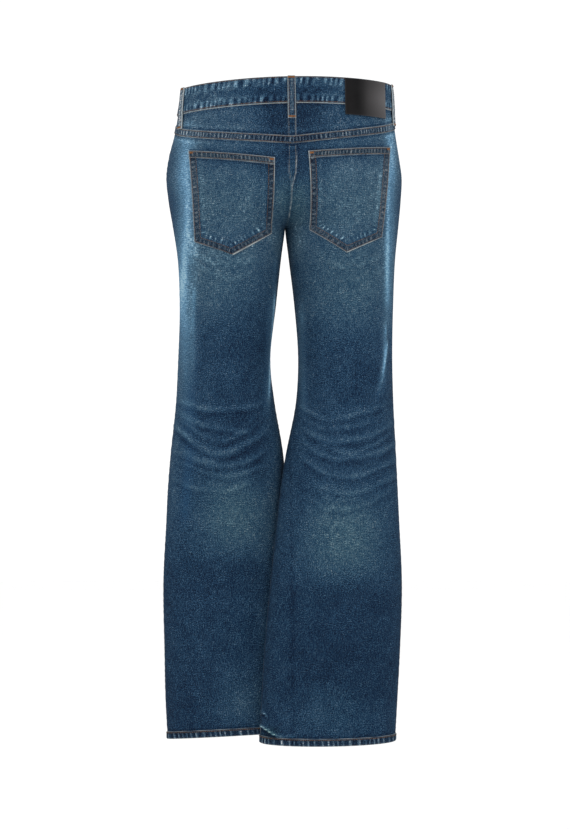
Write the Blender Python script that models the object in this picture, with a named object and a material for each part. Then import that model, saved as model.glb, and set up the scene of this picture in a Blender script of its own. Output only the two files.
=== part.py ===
"""Bootcut jeans in their worn shape: hollow, open at the waist and at both hems.

Sizes are in millimetres and become metres where a mesh is made. The wearer's left
is +X, the back of the jeans faces +Y, and the origin is the middle of the waist.

Every piece is cut from one surface. A point on it is named by its side, by its turn
in degrees from the side seam (plus to the back, minus to the front) and by its
height, and a lift moves the point out of the cloth's inner face.
"""

import math
from collections import namedtuple

import bmesh
import bpy
import numpy as np
from mathutils import Vector
from mathutils.bvhtree import BVHTree

METRES = 0.001
LEFT = 1
RIGHT = -1

# Cloth
DENIM = 1.5
SEAM_GAP = 0.3
LAYER_GAP = 0.6
POCKET_GAP = 1.3
FELLED = 1.1
REACH_OVER = 12.0
FLAT_EDGE = 1.0

# Heights of the cut, measured from the waist at the side seam
WAIST_BACK = 6.8
WAIST_FRONT = -22.0
WAISTBAND_HEIGHT = 42.5
WAISTBAND_WALL = 3.0
YOKE_AT_SIDE = -67.5
YOKE_DROP = 31.7
YOKE_CURVE = 0.8
YOKE_TILT = 6.0
HIP_TILT = 4.6
RISE_TOP = -105.0
RISE_ROUNDNESS = 1.75
CROTCH = -221.0
CROTCH_GAP = 1.7
SIDE_AT_CROTCH = -208.0
YOKE_BAND = 12.0
SEAT_BAND = 6.2
SEAT_BAND_FOOT = -150.0
HEM_HEIGHT = 12.0
HEM_WALL = 2.8

# Lengths of the legs at the side seam, the back and the inner seam
HEM_LEVELS = {LEFT: (-1031.0, -1022.0, -1021.0), RIGHT: (-1027.0, -1030.5, -1028.5)}

Section = namedtuple("Section", "height left right left_gap right_gap front back stride")

# One row for each section: half widths from the middle to the side seams, the gap
# from the middle to each inner seam, the depths in front of and behind the side
# seam, and how far the right leg stands back and the left leg forward
SECTIONS = (
    Section(-1033, 181.5, 167.5, -32.0, -42.5, 50, 51, 43.5),
    Section(-967, 185.2, 171.6, -29.2, -39.5, 50, 51, 41.0),
    Section(-891, 187.0, 176.0, -24.2, -35.0, 51, 51, 39.0),
    Section(-777, 188.8, 179.6, -16.0, -24.6, 53, 54, 36.0),
    Section(-683, 184.4, 176.0, -7.0, -14.0, 56, 57, 30.5),
    Section(-635, 182.5, 174.5, -2.4, -8.2, 58, 58, 24.5),
    Section(-583, 178.8, 173.0, 2.4, 0.6, 60, 59, 16.5),
    Section(-493, 170.2, 169.8, 18.4, 19.0, 64, 63, 5.0),
    Section(-436, 167.6, 168.8, 25.2, 22.6, 67, 67, 1.0),
    Section(-341, 165.0, 170.2, 15.7, 16.2, 78, 77, 0.0),
    Section(-265, 168.8, 173.6, 7.4, 7.0, 85, 86, 0.0),
    Section(-221, 175.6, 178.0, 1.7, 1.7, 89, 95, 0.0),
    Section(-177, 183.0, 182.0, 0.0, 0.0, 97, 112, 0.0),
    Section(-140, 186.0, 183.5, 0.0, 0.0, 101, 119, 0.0),
    Section(-114, 182.5, 180.0, 0.0, 0.0, 101, 118, 0.0),
    Section(-76, 173.0, 174.0, 0.0, 0.0, 98, 112, 0.0),
    Section(-38, 166.5, 169.0, 0.0, 0.0, 94, 106, 0.0),
    Section(0, 161.5, 166.5, 0.0, 0.0, 90, 99, 0.0),
    Section(20, 159.5, 165.0, 0.0, 0.0, 88, 96, 0.0),
)

Fold = namedtuple("Fold", "side turn height width reach slant bow depth")

# One row for each large fold: where its middle is, half its width in height, how far
# it reaches in turn, its slant and its bow, and the depth of its trough
FOLDS = (
    Fold(RIGHT, 26.0, -400.0, 26.0, 9.0, 4.5, 0.0, 2.2),
    Fold(RIGHT, 150.0, -1000.0, 14.0, 26.0, -0.9, 0.0, 2.4),
    Fold(LEFT, 92.0, -585.0, 17.0, 55.0, 0.0, 0.008, 1.2),
    Fold(RIGHT, 92.0, -600.0, 17.0, 55.0, 0.0, 0.008, 1.2),
    Fold(LEFT, -128.0, -205.0, 12.0, 26.0, -0.9, 0.0, 1.6),
    Fold(RIGHT, -128.0, -205.0, 12.0, 26.0, -0.9, 0.0, 1.6),
    Fold(LEFT, -90.0, -470.0, 20.0, 50.0, 0.0, -0.006, 1.2),
    Fold(RIGHT, -90.0, -480.0, 20.0, 50.0, 0.0, -0.006, 1.2),
)

Pocket = namedtuple("Pocket", "mouth_inner mouth_outer foot_outer tip foot_inner")

# Corners of the back pockets, as distance from the middle and height
POCKETS = {
    LEFT: Pocket((27, -121), (154.5, -107), (145.5, -248), (91, -269), (29.5, -234)),
    RIGHT: Pocket((24.5, -110.5), (158, -98), (143, -239), (87.5, -264), (33.5, -228.5)),
}

# Places down a pocket as shares of its height. The first two are the mouth's hem.
POCKET_ROWS = (0.0, 0.075, 0.085, 0.25, 0.42, 0.58, 0.72, 0.86, 1.0)

# Front pocket mouths, fly and waist fastening
MOUTH_TURN = 46.0
MOUTH_DEPTH = 66.0
FACING_MARGIN = 16.0
FACING_BEYOND = 4.0
FLY_WIDTH = 36.0
FLY_LENGTH = 112.0
FLY_FOOT = 0.68
FLY_TOE = 5.0
LAP_OVER = 4.0
LAP_UNDER = 40.0
LAP_STEP = 18.0
LAP_EASE = 2.0
BUTTON_OFFSET = 15.0
BUTTON_SPOKES = 24
# Radius and rise of the button, from its post over the rim to its face
BUTTON_PROFILE = ((3.2, 0.0), (3.2, 1.2), (8.3, 1.5), (8.5, 2.6), (7.7, 3.3), (6.4, 2.9))

# Belt loops and patch
LOOP_WIDTH = 12.0
LOOP_LENGTH = 66.5
LOOP_THICKNESS = 1.8
LOOP_RISE = 1.8
LOOP_ON_BAND = 0.68
# Places down a loop as shares of its length, and how much of the rise each one has
LOOP_SHARES = (0.0, 0.07, 0.2, 0.45, 0.62, 0.78, 0.93, 1.0)
LOOP_STAND = (0.0, 0.0, 0.8, 1.0, 1.0, 0.6, 0.0, 0.0)
LOOP_RINGS = {
    "centre": 90.0,
    "side_left": 11.0,
    "side_right": 171.0,
    "front_left": -47.0,
    "front_right": 227.0,
}
PATCH_INNER = 83.5
PATCH_OUTER = 150.0
PATCH_HEIGHT = 56.0
PATCH_DROP = 0.5
PATCH_THICKNESS = 1.4

# Mesh density
PANEL_COLUMNS = 13
WAIST_COLUMNS = 46
RISE_ROWS = 10
LEG_ROWS = 24
LEG_ROW_GROWTH = 1.25

MATERIALS = {
    "denim": ((0.045, 0.105, 0.19, 1.0), 0.92, 0.0),
    "denim_band": ((0.04, 0.09, 0.17, 1.0), 0.92, 0.0),
    "leather": ((0.012, 0.012, 0.013, 1.0), 0.42, 0.0),
    "button_metal": ((0.33, 0.24, 0.14, 1.0), 0.38, 1.0),
}

LEVELS = np.arange(-1045.0, 31.0, 1.0)


# ---------------------------------------------------------------- the surface

def smooth_column(name):
    """A column of SECTIONS at every level, on a smooth curve through its rows."""
    heights = np.array([row.height for row in SECTIONS], dtype=float)
    values = np.array([getattr(row, name) for row in SECTIONS], dtype=float)
    slopes = np.gradient(values, heights)
    levels = np.clip(LEVELS, heights[0], heights[-1])
    low = np.clip(np.searchsorted(heights, levels, side="right") - 1, 0, len(heights) - 2)
    span = heights[low + 1] - heights[low]
    t = (levels - heights[low]) / span
    start = (2 * t**3 - 3 * t**2 + 1) * values[low]
    end = (3 * t**2 - 2 * t**3) * values[low + 1]
    leave = (t**3 - 2 * t**2 + t) * span * slopes[low]
    arrive = (t**3 - t**2) * span * slopes[low + 1]
    return start + end + leave + arrive


COLUMNS = {name: smooth_column(name) for name in Section._fields if name != "height"}


def at_height(name, height):
    return np.interp(height, LEVELS, COLUMNS[name])


def section(side, height):
    """Middle, half width, front depth, back depth and forward shift of a section.

    Above the crotch the section is part of a ring that both sides share: its inner
    end is cut off by the middle plane, along the front and back rise.
    """
    is_left = np.asarray(side) > 0
    outer = np.where(is_left, at_height("left", height), at_height("right", height))
    gap = np.where(is_left, at_height("left_gap", height), at_height("right_gap", height))
    fall = np.clip((RISE_TOP - np.asarray(height)) / (RISE_TOP - CROTCH), 0.0, 1.0)
    split = fall**RISE_ROUNDNESS
    rise = CROTCH_GAP * split - outer * (1 - split) / (1 + split)
    inner = np.where(np.asarray(height) > CROTCH, rise, gap)
    shift = -np.asarray(side) * at_height("stride", height)
    depths = at_height("front", height), at_height("back", height)
    return (outer + inner) / 2, (outer - inner) / 2, *depths, shift


def inner_turn(side, height):
    """The turn at which the cloth reaches the middle plane, or the inner seam."""
    middle, half, *_ = section(side, height)
    above = np.degrees(np.arccos(np.clip(-middle / half, -1.0, 1.0)))
    return np.where(np.asarray(height) > CROTCH, above, 180.0)


def fold_depth(side, turn, height):
    depth = np.zeros(np.broadcast(side, turn, height).shape)
    for fold in FOLDS:
        along = turn - fold.turn
        line = fold.height + fold.slant * along + fold.bow * along**2
        across = (height - line) / fold.width
        trough = fold.depth * np.exp(-across**2 - (along / fold.reach)**4)
        depth = depth + np.where(np.asarray(side) == fold.side, trough, 0.0)
    return depth


def bare_point(side, turn, height):
    middle, half, front, back, shift = section(side, height)
    angle = np.radians(turn)
    depth = np.where(np.asarray(turn) >= 0, back, front)
    x = side * (middle + half * np.cos(angle))
    y = depth * np.sin(angle) + shift
    return np.stack(np.broadcast_arrays(x, y, height), axis=-1).astype(float)


def outward(side, turn, height):
    """The direction that points out of the cloth."""
    along = bare_point(side, turn + 0.5, height) - bare_point(side, turn - 0.5, height)
    up = bare_point(side, turn, height + 0.5) - bare_point(side, turn, height - 0.5)
    direction = np.cross(along, up) * np.asarray(side)[..., None]
    return direction / np.linalg.norm(direction, axis=-1, keepdims=True)


def cloth(side, turn, height, lift):
    """Points of the garment, lifted out of the cloth's inner face."""
    side, turn, height = np.broadcast_arrays(side, turn, height)
    lift = lift - fold_depth(side, turn, height)
    point = bare_point(side, turn, height) + outward(side, turn, height) * lift[..., None]
    above = height > CROTCH
    clear = np.maximum(side * point[..., 0], SEAM_GAP / 2)
    point[..., 0] = np.where(above, side * clear, point[..., 0])
    return point


def side_and_turn(ring):
    """Side and turn of a ring angle: 0 is the left side, 90 the middle of the back."""
    ring = (np.asarray(ring) + 90.0) % 360.0 - 90.0
    on_left = ring <= 90.0
    return np.where(on_left, LEFT, RIGHT), np.where(on_left, ring, 180.0 - ring)


def ring_point(ring, height, lift):
    """Points of the waist and hips by ring angle, without the gap at the middle."""
    side, turn = side_and_turn(ring)
    side, turn, height = np.broadcast_arrays(side, turn, height)
    lift = np.broadcast_to(lift, turn.shape)
    return bare_point(side, turn, height) + outward(side, turn, height) * lift[..., None]


def ring_angle(side, turn):
    return np.where(np.asarray(side) > 0, turn, 180.0 - turn)


def ring_step(ring, distance):
    """The change of ring angle that walks a distance along the waist."""
    step = ring_point(ring + 0.5, -20.0, 0.0) - ring_point(ring - 0.5, -20.0, 0.0)
    return distance / np.linalg.norm(step)


# ---------------------------------------------------------------- seam lines

def waist_top(ring):
    """Height of the waistband's top edge."""
    facing = np.sin(np.radians(ring))
    rise = np.where(facing > 0, WAIST_BACK, WAIST_FRONT)
    return rise * facing**2 - HIP_TILT * np.cos(np.radians(ring))


def waist_seam(ring):
    """Height of the seam under the waistband."""
    return waist_top(ring) - WAISTBAND_HEIGHT


def yoke_seam(ring):
    """Height of the seam between yoke and back, a shallow V to the middle."""
    turn = side_and_turn(ring)[1]
    share = np.clip(turn / 90.0, 0.0, 1.0)
    return YOKE_AT_SIDE - YOKE_DROP * share**YOKE_CURVE - YOKE_TILT * np.cos(np.radians(ring))


def mouth_line(ring):
    """Height of the front's top edge, which dips round the pocket mouth."""
    turn = side_and_turn(ring)[1]
    share = np.clip(np.abs(turn) / MOUTH_TURN, 0.0, 1.0)
    return waist_seam(ring) - MOUTH_DEPTH * np.sqrt(1.0 - share**2)


def hem_line(side, turn):
    """Height of the lower edge of a leg."""
    at_side, at_back, at_inner = HEM_LEVELS[side]
    angle = np.radians(turn)
    middle = (at_side + at_inner) / 2
    return middle + (at_side - at_inner) / 2 * np.cos(angle) + (at_back - middle) * np.sin(angle)


# ---------------------------------------------------------------- mesh building

def clear_scene():
    for item in list(bpy.data.objects):
        bpy.data.objects.remove(item)


def make_material(name):
    colour, roughness, metallic = MATERIALS[name]
    material = bpy.data.materials.new(name)
    material.use_nodes = True
    shader = material.node_tree.nodes["Principled BSDF"]
    shader.inputs["Base Color"].default_value = colour
    shader.inputs["Roughness"].default_value = roughness
    shader.inputs["Metallic"].default_value = metallic
    material.diffuse_color = colour
    return material


def add_object(name, body, material):
    bmesh.ops.recalc_face_normals(body, faces=body.faces)
    mesh = bpy.data.meshes.new(name)
    body.to_mesh(mesh)
    body.free()
    mesh.shade_smooth()
    mesh.set_sharp_from_angle(angle=math.radians(40))
    mesh.materials.append(material)
    item = bpy.data.objects.new(name, mesh)
    bpy.context.scene.collection.objects.link(item)
    return item


def cloth_wall(name, outside, inside, material, is_ring=False):
    """A closed wall between two grids of points, one above the other."""
    rows, columns = outside.shape[:2]
    body = bmesh.new()
    skins = []
    for grid in (outside, inside):
        skins.append([[body.verts.new(Vector(point) * METRES) for point in row] for row in grid])
    across = [(k, (k + 1) % columns) for k in range(columns if is_ring else columns - 1)]
    down = [(k, k + 1) for k in range(rows - 1)]
    for skin in skins:
        for top, bottom in down:
            for near, far in across:
                body.faces.new((skin[top][near], skin[top][far], skin[bottom][far], skin[bottom][near]))
    out, back = skins
    for row in (0, rows - 1):
        for near, far in across:
            body.faces.new((out[row][near], out[row][far], back[row][far], back[row][near]))
    if not is_ring:
        for column in (0, columns - 1):
            for top, bottom in down:
                body.faces.new((out[top][column], out[bottom][column],
                                back[bottom][column], back[top][column]))
    return add_object(name, body, material)


# ---------------------------------------------------------------- panels

def rise_heights(side, sign, top):
    """Heights down the rise from a top edge to the crotch, evenly spaced along it."""
    heights = np.linspace(top, CROTCH, 200)
    turns = sign * inner_turn(side, heights)
    points = bare_point(side, turns, heights)
    steps = np.linalg.norm(np.diff(points, axis=0), axis=1)
    walked = np.concatenate(([0.0], np.cumsum(steps)))
    return np.interp(np.linspace(0.0, walked[-1], RISE_ROWS + 1), walked, heights)


def panel_grid(side, sign, top_line):
    """Turns and heights of a panel from its top edge to its hem seam.

    Columns run from the side seam to the rise and the inner seam. Rows slope down
    to the rise, so that they fan out round the crotch.
    """
    columns = np.linspace(0.0, 1.0, PANEL_COLUMNS + 1)
    edge_turns = sign * 90.0 * columns
    edge = top_line(ring_angle(side, edge_turns)) - SEAM_GAP / 2
    rise = rise_heights(side, sign, float(edge[-1]))
    turns = []
    heights = []
    for row, inner in enumerate(rise):
        share = row / RISE_ROWS
        outer = edge[0] + (SIDE_AT_CROTCH - edge[0]) * share
        straight = outer + (inner - outer) * columns
        bend = (edge - (edge[0] + (edge[-1] - edge[0]) * columns)) * (1.0 - share)**2
        turns.append(sign * columns * inner_turn(side, inner))
        heights.append(straight + bend)
    last = heights[-1]
    turns_down = sign * columns * 180.0
    hem_seam = hem_line(side, turns_down) + HEM_HEIGHT + SEAM_GAP
    for row in range(1, LEG_ROWS + 1):
        turns.append(turns_down)
        heights.append(last + (hem_seam - last) * (row / LEG_ROWS)**LEG_ROW_GROWTH)
    turns = np.array(turns)
    heights = np.array(heights)
    seam_turn = np.degrees(SEAM_GAP / 2 / section(side, heights)[1])
    ends = inner_turn(side, heights)
    ends = np.where(ends > 179.0, 180.0 - seam_turn, ends)
    turns = sign * np.clip(np.abs(turns), seam_turn, ends)
    return turns, heights


def seat_seam_lift(side, turns, heights):
    """The felled seat seam: a raised band on both sides of the middle."""
    points = bare_point(side, turns, heights)
    near = np.abs(points[..., 0]) < SEAT_BAND
    return np.where(near & (heights > SEAT_BAND_FOOT), FELLED, 0.0)


def make_back(side, name, material):
    turns, heights = panel_grid(side, 1, yoke_seam)
    felled = seat_seam_lift(side, turns, heights)
    outside = cloth(side, turns, heights, DENIM + felled)
    inside = cloth(side, turns, heights, 0.0)
    return cloth_wall(name, outside, inside, material)


def make_front(side, name, material):
    turns, heights = panel_grid(side, -1, mouth_line)
    outside = cloth(side, turns, heights, DENIM)
    inside = cloth(side, turns, heights, 0.0)
    return cloth_wall(name, outside, inside, material)


def make_yoke(side, name, material):
    """The yoke, with the felled seam along its lower edge as a thicker band."""
    columns = np.linspace(0.0, 1.0, PANEL_COLUMNS + 1)
    turns = 90.0 * columns
    top = waist_seam(ring_angle(side, turns)) - SEAM_GAP
    bottom = yoke_seam(ring_angle(side, turns)) + SEAM_GAP / 2
    band = bottom + YOKE_BAND
    heights = np.array([top, (top + band) / 2, band + FLAT_EDGE, band, bottom])
    turns = np.broadcast_to(turns, heights.shape)
    turns = np.maximum(turns, np.degrees(SEAM_GAP / 2 / section(side, heights)[1]))
    felled = np.array([0.0, 0.0, 0.0, FELLED, FELLED])[:, None]
    outside = cloth(side, turns, heights, DENIM + felled)
    inside = cloth(side, turns, heights, 0.0)
    return cloth_wall(name, outside, inside, material)


def make_hem(side, name, material):
    """The turned-up hem, a thicker ring round the foot of the leg."""
    turns = np.linspace(-180.0, 180.0, 2 * PANEL_COLUMNS, endpoint=False)
    bottom = hem_line(side, turns)
    heights = np.array([bottom + HEM_HEIGHT, bottom + HEM_HEIGHT / 2, bottom])
    turns = np.broadcast_to(turns, heights.shape)
    outside = cloth(side, turns, heights, HEM_WALL)
    inside = cloth(side, turns, heights, 0.0)
    return cloth_wall(name, outside, inside, material, is_ring=True)


# ---------------------------------------------------------------- waist

def make_waistband(material):
    """One strip round the waist, whose left end laps over the right at the front."""
    step = float(ring_step(-90.0, 1.0))
    around = np.linspace(-90.0 - LAP_OVER * step, 250.0, WAIST_COLUMNS)
    lap_start = 270.0 - (LAP_OVER + LAP_STEP) * step
    lap_end = 270.0 - (LAP_OVER + LAP_EASE) * step
    rings = np.concatenate((around, [lap_start, lap_end, 270.0, 270.0 + LAP_UNDER * step]))
    sink = np.interp(rings, (lap_start, lap_end), (0.0, WAISTBAND_WALL + SEAM_GAP))
    top = waist_top(rings)
    heights = np.array([top, top - WAISTBAND_HEIGHT / 2, top - WAISTBAND_HEIGHT])
    outside = ring_point(rings[None, :], heights, WAISTBAND_WALL - sink)
    inside = ring_point(rings[None, :], heights, -sink)
    return cloth_wall("waistband", outside, inside, material)


def make_belt_loop(word, material):
    """A loop that stands off the band between its two sewn ends."""
    ring = LOOP_RINGS[word]
    half = ring_step(ring, LOOP_WIDTH / 2)
    rings = np.linspace(ring - half, ring + half, 3)
    shares = np.array(LOOP_SHARES)
    on_band = WAISTBAND_WALL + LAYER_GAP
    below = DENIM + FELLED + LAYER_GAP
    base = np.where(shares < LOOP_ON_BAND, on_band, below)
    heights = np.repeat((waist_top(ring) - shares * LOOP_LENGTH)[:, None], len(rings), axis=1)
    lift = (base + np.array(LOOP_STAND) * LOOP_RISE)[:, None]
    outside = ring_point(rings[None, :], heights, lift + LOOP_THICKNESS)
    inside = ring_point(rings[None, :], heights, lift)
    return cloth_wall(f"belt_loop_{word}", outside, inside, material)


def make_patch(material):
    """The leather patch, flush with the waistband's top edge and longer than it."""
    across = np.linspace(PATCH_INNER, PATCH_OUTER, 13)
    top = waist_top(ring_angle(RIGHT, turn_at(RIGHT, across, 0.0, 1))) - PATCH_DROP
    heights = np.array([top, top - PATCH_HEIGHT / 2, top - PATCH_HEIGHT])
    turns = turn_at(RIGHT, across, heights, 1)
    lift = WAISTBAND_WALL + LAYER_GAP
    outside = cloth(RIGHT, turns, heights, lift + PATCH_THICKNESS)
    inside = cloth(RIGHT, turns, heights, lift)
    return cloth_wall("leather_patch", outside, inside, material)


def make_button(material):
    """A shank button: a turned cap on a short neck, at the lapped end of the band."""
    ring = -90.0 + float(ring_step(-90.0, BUTTON_OFFSET))
    height = float(waist_top(ring)) - WAISTBAND_HEIGHT / 2
    angles = [2 * math.pi * k / BUTTON_SPOKES for k in range(BUTTON_SPOKES)]
    body = bmesh.new()
    rounds = []
    for radius, rise in BUTTON_PROFILE:
        places = [Vector((radius * math.cos(a), radius * math.sin(a), rise)) for a in angles]
        rounds.append([body.verts.new(place * METRES) for place in places])
    for low, high in zip(rounds, rounds[1:]):
        for k in range(BUTTON_SPOKES):
            after = (k + 1) % BUTTON_SPOKES
            body.faces.new((low[k], low[after], high[after], high[k]))
    body.faces.new(rounds[0])
    body.faces.new(rounds[-1])
    item = add_object("waist_button", body, material)
    side, turn = side_and_turn(ring)
    axis = Vector(outward(side, turn, np.float64(height)))
    seat = ring_point(ring, height, WAISTBAND_WALL + SEAM_GAP)
    item.location = Vector(seat) * METRES
    item.rotation_euler = axis.to_track_quat("Z", "Y").to_euler()
    return item


# ---------------------------------------------------------------- pockets and fly

def lift_over(panel, side, turn, height):
    """The lift that clears a panel's flat facets as well as its true surface."""
    vertices = [vertex.co for vertex in panel.data.vertices]
    faces = [tuple(face.vertices) for face in panel.data.polygons]
    tree = BVHTree.FromPolygons(vertices, faces)
    facing = outward(side, turn, height)
    start = cloth(side, turn, height, REACH_OVER) * METRES
    lift = np.full(turn.shape, DENIM)
    for index in np.ndindex(turn.shape):
        *_, distance = tree.ray_cast(Vector(start[index]), -Vector(facing[index]))
        lift[index] = max(DENIM, REACH_OVER - distance / METRES)
    return lift + POCKET_GAP


def turn_at(side, distance, height, sign):
    """The turn of a point on the back or front, at a distance from the middle."""
    middle, half, *_ = section(side, height)
    return sign * np.degrees(np.arccos(np.clip((distance - middle) / half, -1.0, 1.0)))


def pocket_outline(side):
    """Distances and heights over a back pocket: rows down, columns outwards."""
    cut = POCKETS[side]
    across = np.linspace(0.0, 1.0, 11)[None, :]
    down = np.array(POCKET_ROWS)[:, None]
    inner = cut.mouth_inner[0] + (cut.foot_inner[0] - cut.mouth_inner[0]) * down
    outer = cut.mouth_outer[0] + (cut.foot_outer[0] - cut.mouth_outer[0]) * down
    top = cut.mouth_inner[1] + (cut.mouth_outer[1] - cut.mouth_inner[1]) * across
    bottom = np.interp(across, (0.0, 0.5, 1.0), (cut.foot_inner[1], cut.tip[1], cut.foot_outer[1]))
    return inner + (outer - inner) * across, top + (bottom - top) * down


def make_pocket(side, name, panel, material):
    """A back patch pocket with a thicker hem along its mouth."""
    distance, height = pocket_outline(side)
    turn = turn_at(side, distance, height, 1)
    lift = lift_over(panel, side, turn, height)
    hem = np.array([FELLED, FELLED] + [0.0] * (len(POCKET_ROWS) - 2))[:, None]
    outside = cloth(side, turn, height, lift + DENIM + hem)
    inside = cloth(side, turn, height, lift)
    return cloth_wall(name, outside, inside, material)


def make_facing(side, name, material):
    """The denim facing that shows behind a front pocket mouth."""
    turns = -np.linspace(0.0, MOUTH_TURN + FACING_BEYOND, 9)
    top = waist_seam(ring_angle(side, turns)) - SEAM_GAP
    bottom = mouth_line(ring_angle(side, turns)) - FACING_MARGIN
    shares = np.linspace(0.0, 1.0, 5)[:, None]
    heights = top + (bottom - top) * shares
    turns = np.broadcast_to(turns, heights.shape)
    turns = np.minimum(turns, -np.degrees(SEAM_GAP / section(side, heights)[1]))
    outside = cloth(side, turns, heights, -LAYER_GAP)
    inside = cloth(side, turns, heights, -LAYER_GAP - DENIM)
    return cloth_wall(name, outside, inside, material)


def make_fly(panel, material):
    """The fly's lapped edge on the left front, rounded off below like a J."""
    shares = np.linspace(0.0, 1.0, 10)[:, None]
    across = np.linspace(0.0, 1.0, 5)[None, :]
    foot = np.clip((shares - FLY_FOOT) / (1.0 - FLY_FOOT), 0.0, 1.0)
    width = np.maximum(FLY_WIDTH * np.sqrt(1.0 - foot**2), FLY_TOE)
    distance = SEAM_GAP + (width - SEAM_GAP) * across
    top = float(waist_seam(-90.0)) - 3 * SEAM_GAP
    height = np.broadcast_to(top - FLY_LENGTH * shares, distance.shape)
    turn = turn_at(LEFT, distance, height, -1)
    lift = lift_over(panel, LEFT, turn, height)
    outside = cloth(LEFT, turn, height, lift + DENIM)
    inside = cloth(LEFT, turn, height, lift)
    return cloth_wall("fly", outside, inside, material)


def build():
    clear_scene()
    paint = {name: make_material(name) for name in MATERIALS}
    fronts = {}
    for side, word in ((LEFT, "left"), (RIGHT, "right")):
        fronts[side] = make_front(side, f"front_{word}", paint["denim"])
        back = make_back(side, f"back_{word}", paint["denim"])
        make_yoke(side, f"yoke_{word}", paint["denim"])
        make_hem(side, f"hem_{word}", paint["denim_band"])
        make_pocket(side, f"pocket_{word}", back, paint["denim_band"])
        make_facing(side, f"facing_{word}", paint["denim"])
    make_waistband(paint["denim_band"])
    for word in LOOP_RINGS:
        make_belt_loop(word, paint["denim_band"])
    make_fly(fronts[LEFT], paint["denim_band"])
    make_patch(paint["leather"])
    make_button(paint["button_metal"])


build()
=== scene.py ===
# %% [markdown]
# # Bootcut jeans, dressed piece by piece
# This lesson takes the plain solids of a pair of worn jeans and gives every piece its
# real cloth: a thin denim shell with creases, felled seams, puckers, fades and thread.
# The imported solids come in first, so that each piece below can hide the solids it covers.

# %% Load the frame
import math
from collections import namedtuple

import bpy
import numpy as np
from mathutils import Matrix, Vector


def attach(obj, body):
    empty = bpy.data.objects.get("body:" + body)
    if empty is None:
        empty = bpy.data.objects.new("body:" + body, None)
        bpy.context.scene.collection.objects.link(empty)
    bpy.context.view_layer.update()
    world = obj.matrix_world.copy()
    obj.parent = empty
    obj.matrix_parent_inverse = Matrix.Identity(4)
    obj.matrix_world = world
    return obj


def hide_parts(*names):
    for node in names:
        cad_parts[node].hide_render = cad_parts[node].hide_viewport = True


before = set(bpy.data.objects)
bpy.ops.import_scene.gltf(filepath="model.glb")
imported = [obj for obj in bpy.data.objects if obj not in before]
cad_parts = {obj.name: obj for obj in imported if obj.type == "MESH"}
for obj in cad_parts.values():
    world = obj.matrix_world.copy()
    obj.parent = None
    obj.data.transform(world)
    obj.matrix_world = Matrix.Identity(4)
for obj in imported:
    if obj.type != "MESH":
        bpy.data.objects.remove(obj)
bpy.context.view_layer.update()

print("nodes in the frame:", len(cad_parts))

# %% [markdown]
# ## The cut
# A pair of jeans is drafted from a few girths and lengths. Here each leg is a stack of
# rounded sections, one row of a table for each height, and every piece is a patch of
# that one surface. So seams meet by themselves, and no piece has to be fitted to
# another. Sizes are in millimetres, the wearer's left is +X and the back is +Y.

# %% Sizes of the cut
METRES = 0.001
LEFT = 1
RIGHT = -1
SIDES = ((LEFT, "left"), (RIGHT, "right"))

DENIM = 1.5
JOIN = 0.1
LAYER_GAP = 0.6
POCKET_GAP = 0.35
FELLED = 1.1

WAIST_BACK = 6.8
WAIST_FRONT = -22.0
WAISTBAND_HEIGHT = 42.5
WAISTBAND_WALL = 3.0
YOKE_AT_SIDE = -67.5
YOKE_DROP = 31.7
YOKE_CURVE = 0.8
YOKE_TILT = 6.0
HIP_TILT = 4.6
RISE_TOP = -105.0
RISE_ROUNDNESS = 1.75
CROTCH = -221.0
CROTCH_GAP = 1.7
SIDE_AT_CROTCH = -208.0
YOKE_BAND = 12.0
HEM_HEIGHT = 12.0
HEM_WALL = 2.8
HEM_LEVELS = {LEFT: (-1031.0, -1022.0, -1021.0), RIGHT: (-1027.0, -1030.5, -1028.5)}

Section = namedtuple("Section", "height left right left_gap right_gap front back stride")

# Half widths from the middle to the side seams, the gap from the middle to each inner
# seam, the depths before and behind the side seam, and the stride of the two legs
SECTIONS = (
    Section(-1033, 181.5, 167.5, -32.0, -42.5, 50, 51, 43.5),
    Section(-967, 185.2, 171.6, -29.2, -39.5, 50, 51, 41.0),
    Section(-891, 187.0, 176.0, -24.2, -35.0, 51, 51, 39.0),
    Section(-777, 188.8, 179.6, -16.0, -24.6, 53, 54, 36.0),
    Section(-683, 184.4, 176.0, -7.0, -14.0, 56, 57, 30.5),
    Section(-635, 182.5, 174.5, -2.4, -8.2, 58, 58, 24.5),
    Section(-583, 178.8, 173.0, 2.4, 0.6, 60, 59, 16.5),
    Section(-493, 170.2, 169.8, 18.4, 19.0, 64, 63, 5.0),
    Section(-436, 167.6, 168.8, 25.2, 22.6, 67, 67, 1.0),
    Section(-341, 165.0, 170.2, 15.7, 16.2, 78, 77, 0.0),
    Section(-265, 168.8, 173.6, 7.4, 7.0, 85, 86, 0.0),
    Section(-221, 175.6, 178.0, 1.7, 1.7, 89, 95, 0.0),
    Section(-177, 183.0, 182.0, 0.0, 0.0, 97, 112, 0.0),
    Section(-140, 186.0, 183.5, 0.0, 0.0, 101, 119, 0.0),
    Section(-114, 182.5, 180.0, 0.0, 0.0, 101, 118, 0.0),
    Section(-76, 173.0, 174.0, 0.0, 0.0, 98, 112, 0.0),
    Section(-38, 166.5, 169.0, 0.0, 0.0, 94, 106, 0.0),
    Section(0, 161.5, 166.5, 0.0, 0.0, 90, 99, 0.0),
    Section(20, 159.5, 165.0, 0.0, 0.0, 88, 96, 0.0),
)
# One level for each millimetre of height, a little past both ends of the table
LEVELS = np.arange(-1045.0, 31.0)
print("sections:", len(SECTIONS), "from hem to waist")

# %% [markdown]
# ## One surface for the whole garment
# A point is named by its side, its turn in degrees from the side seam (plus to the
# back, minus to the front) and its height. A lift moves it out along the cloth's
# normal. A smooth curve through the rows of the table gives the sizes in between.


# %% The surface
# Slopes are measured over a step of one degree or one millimetre
HALF_STEP = 0.5


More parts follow.
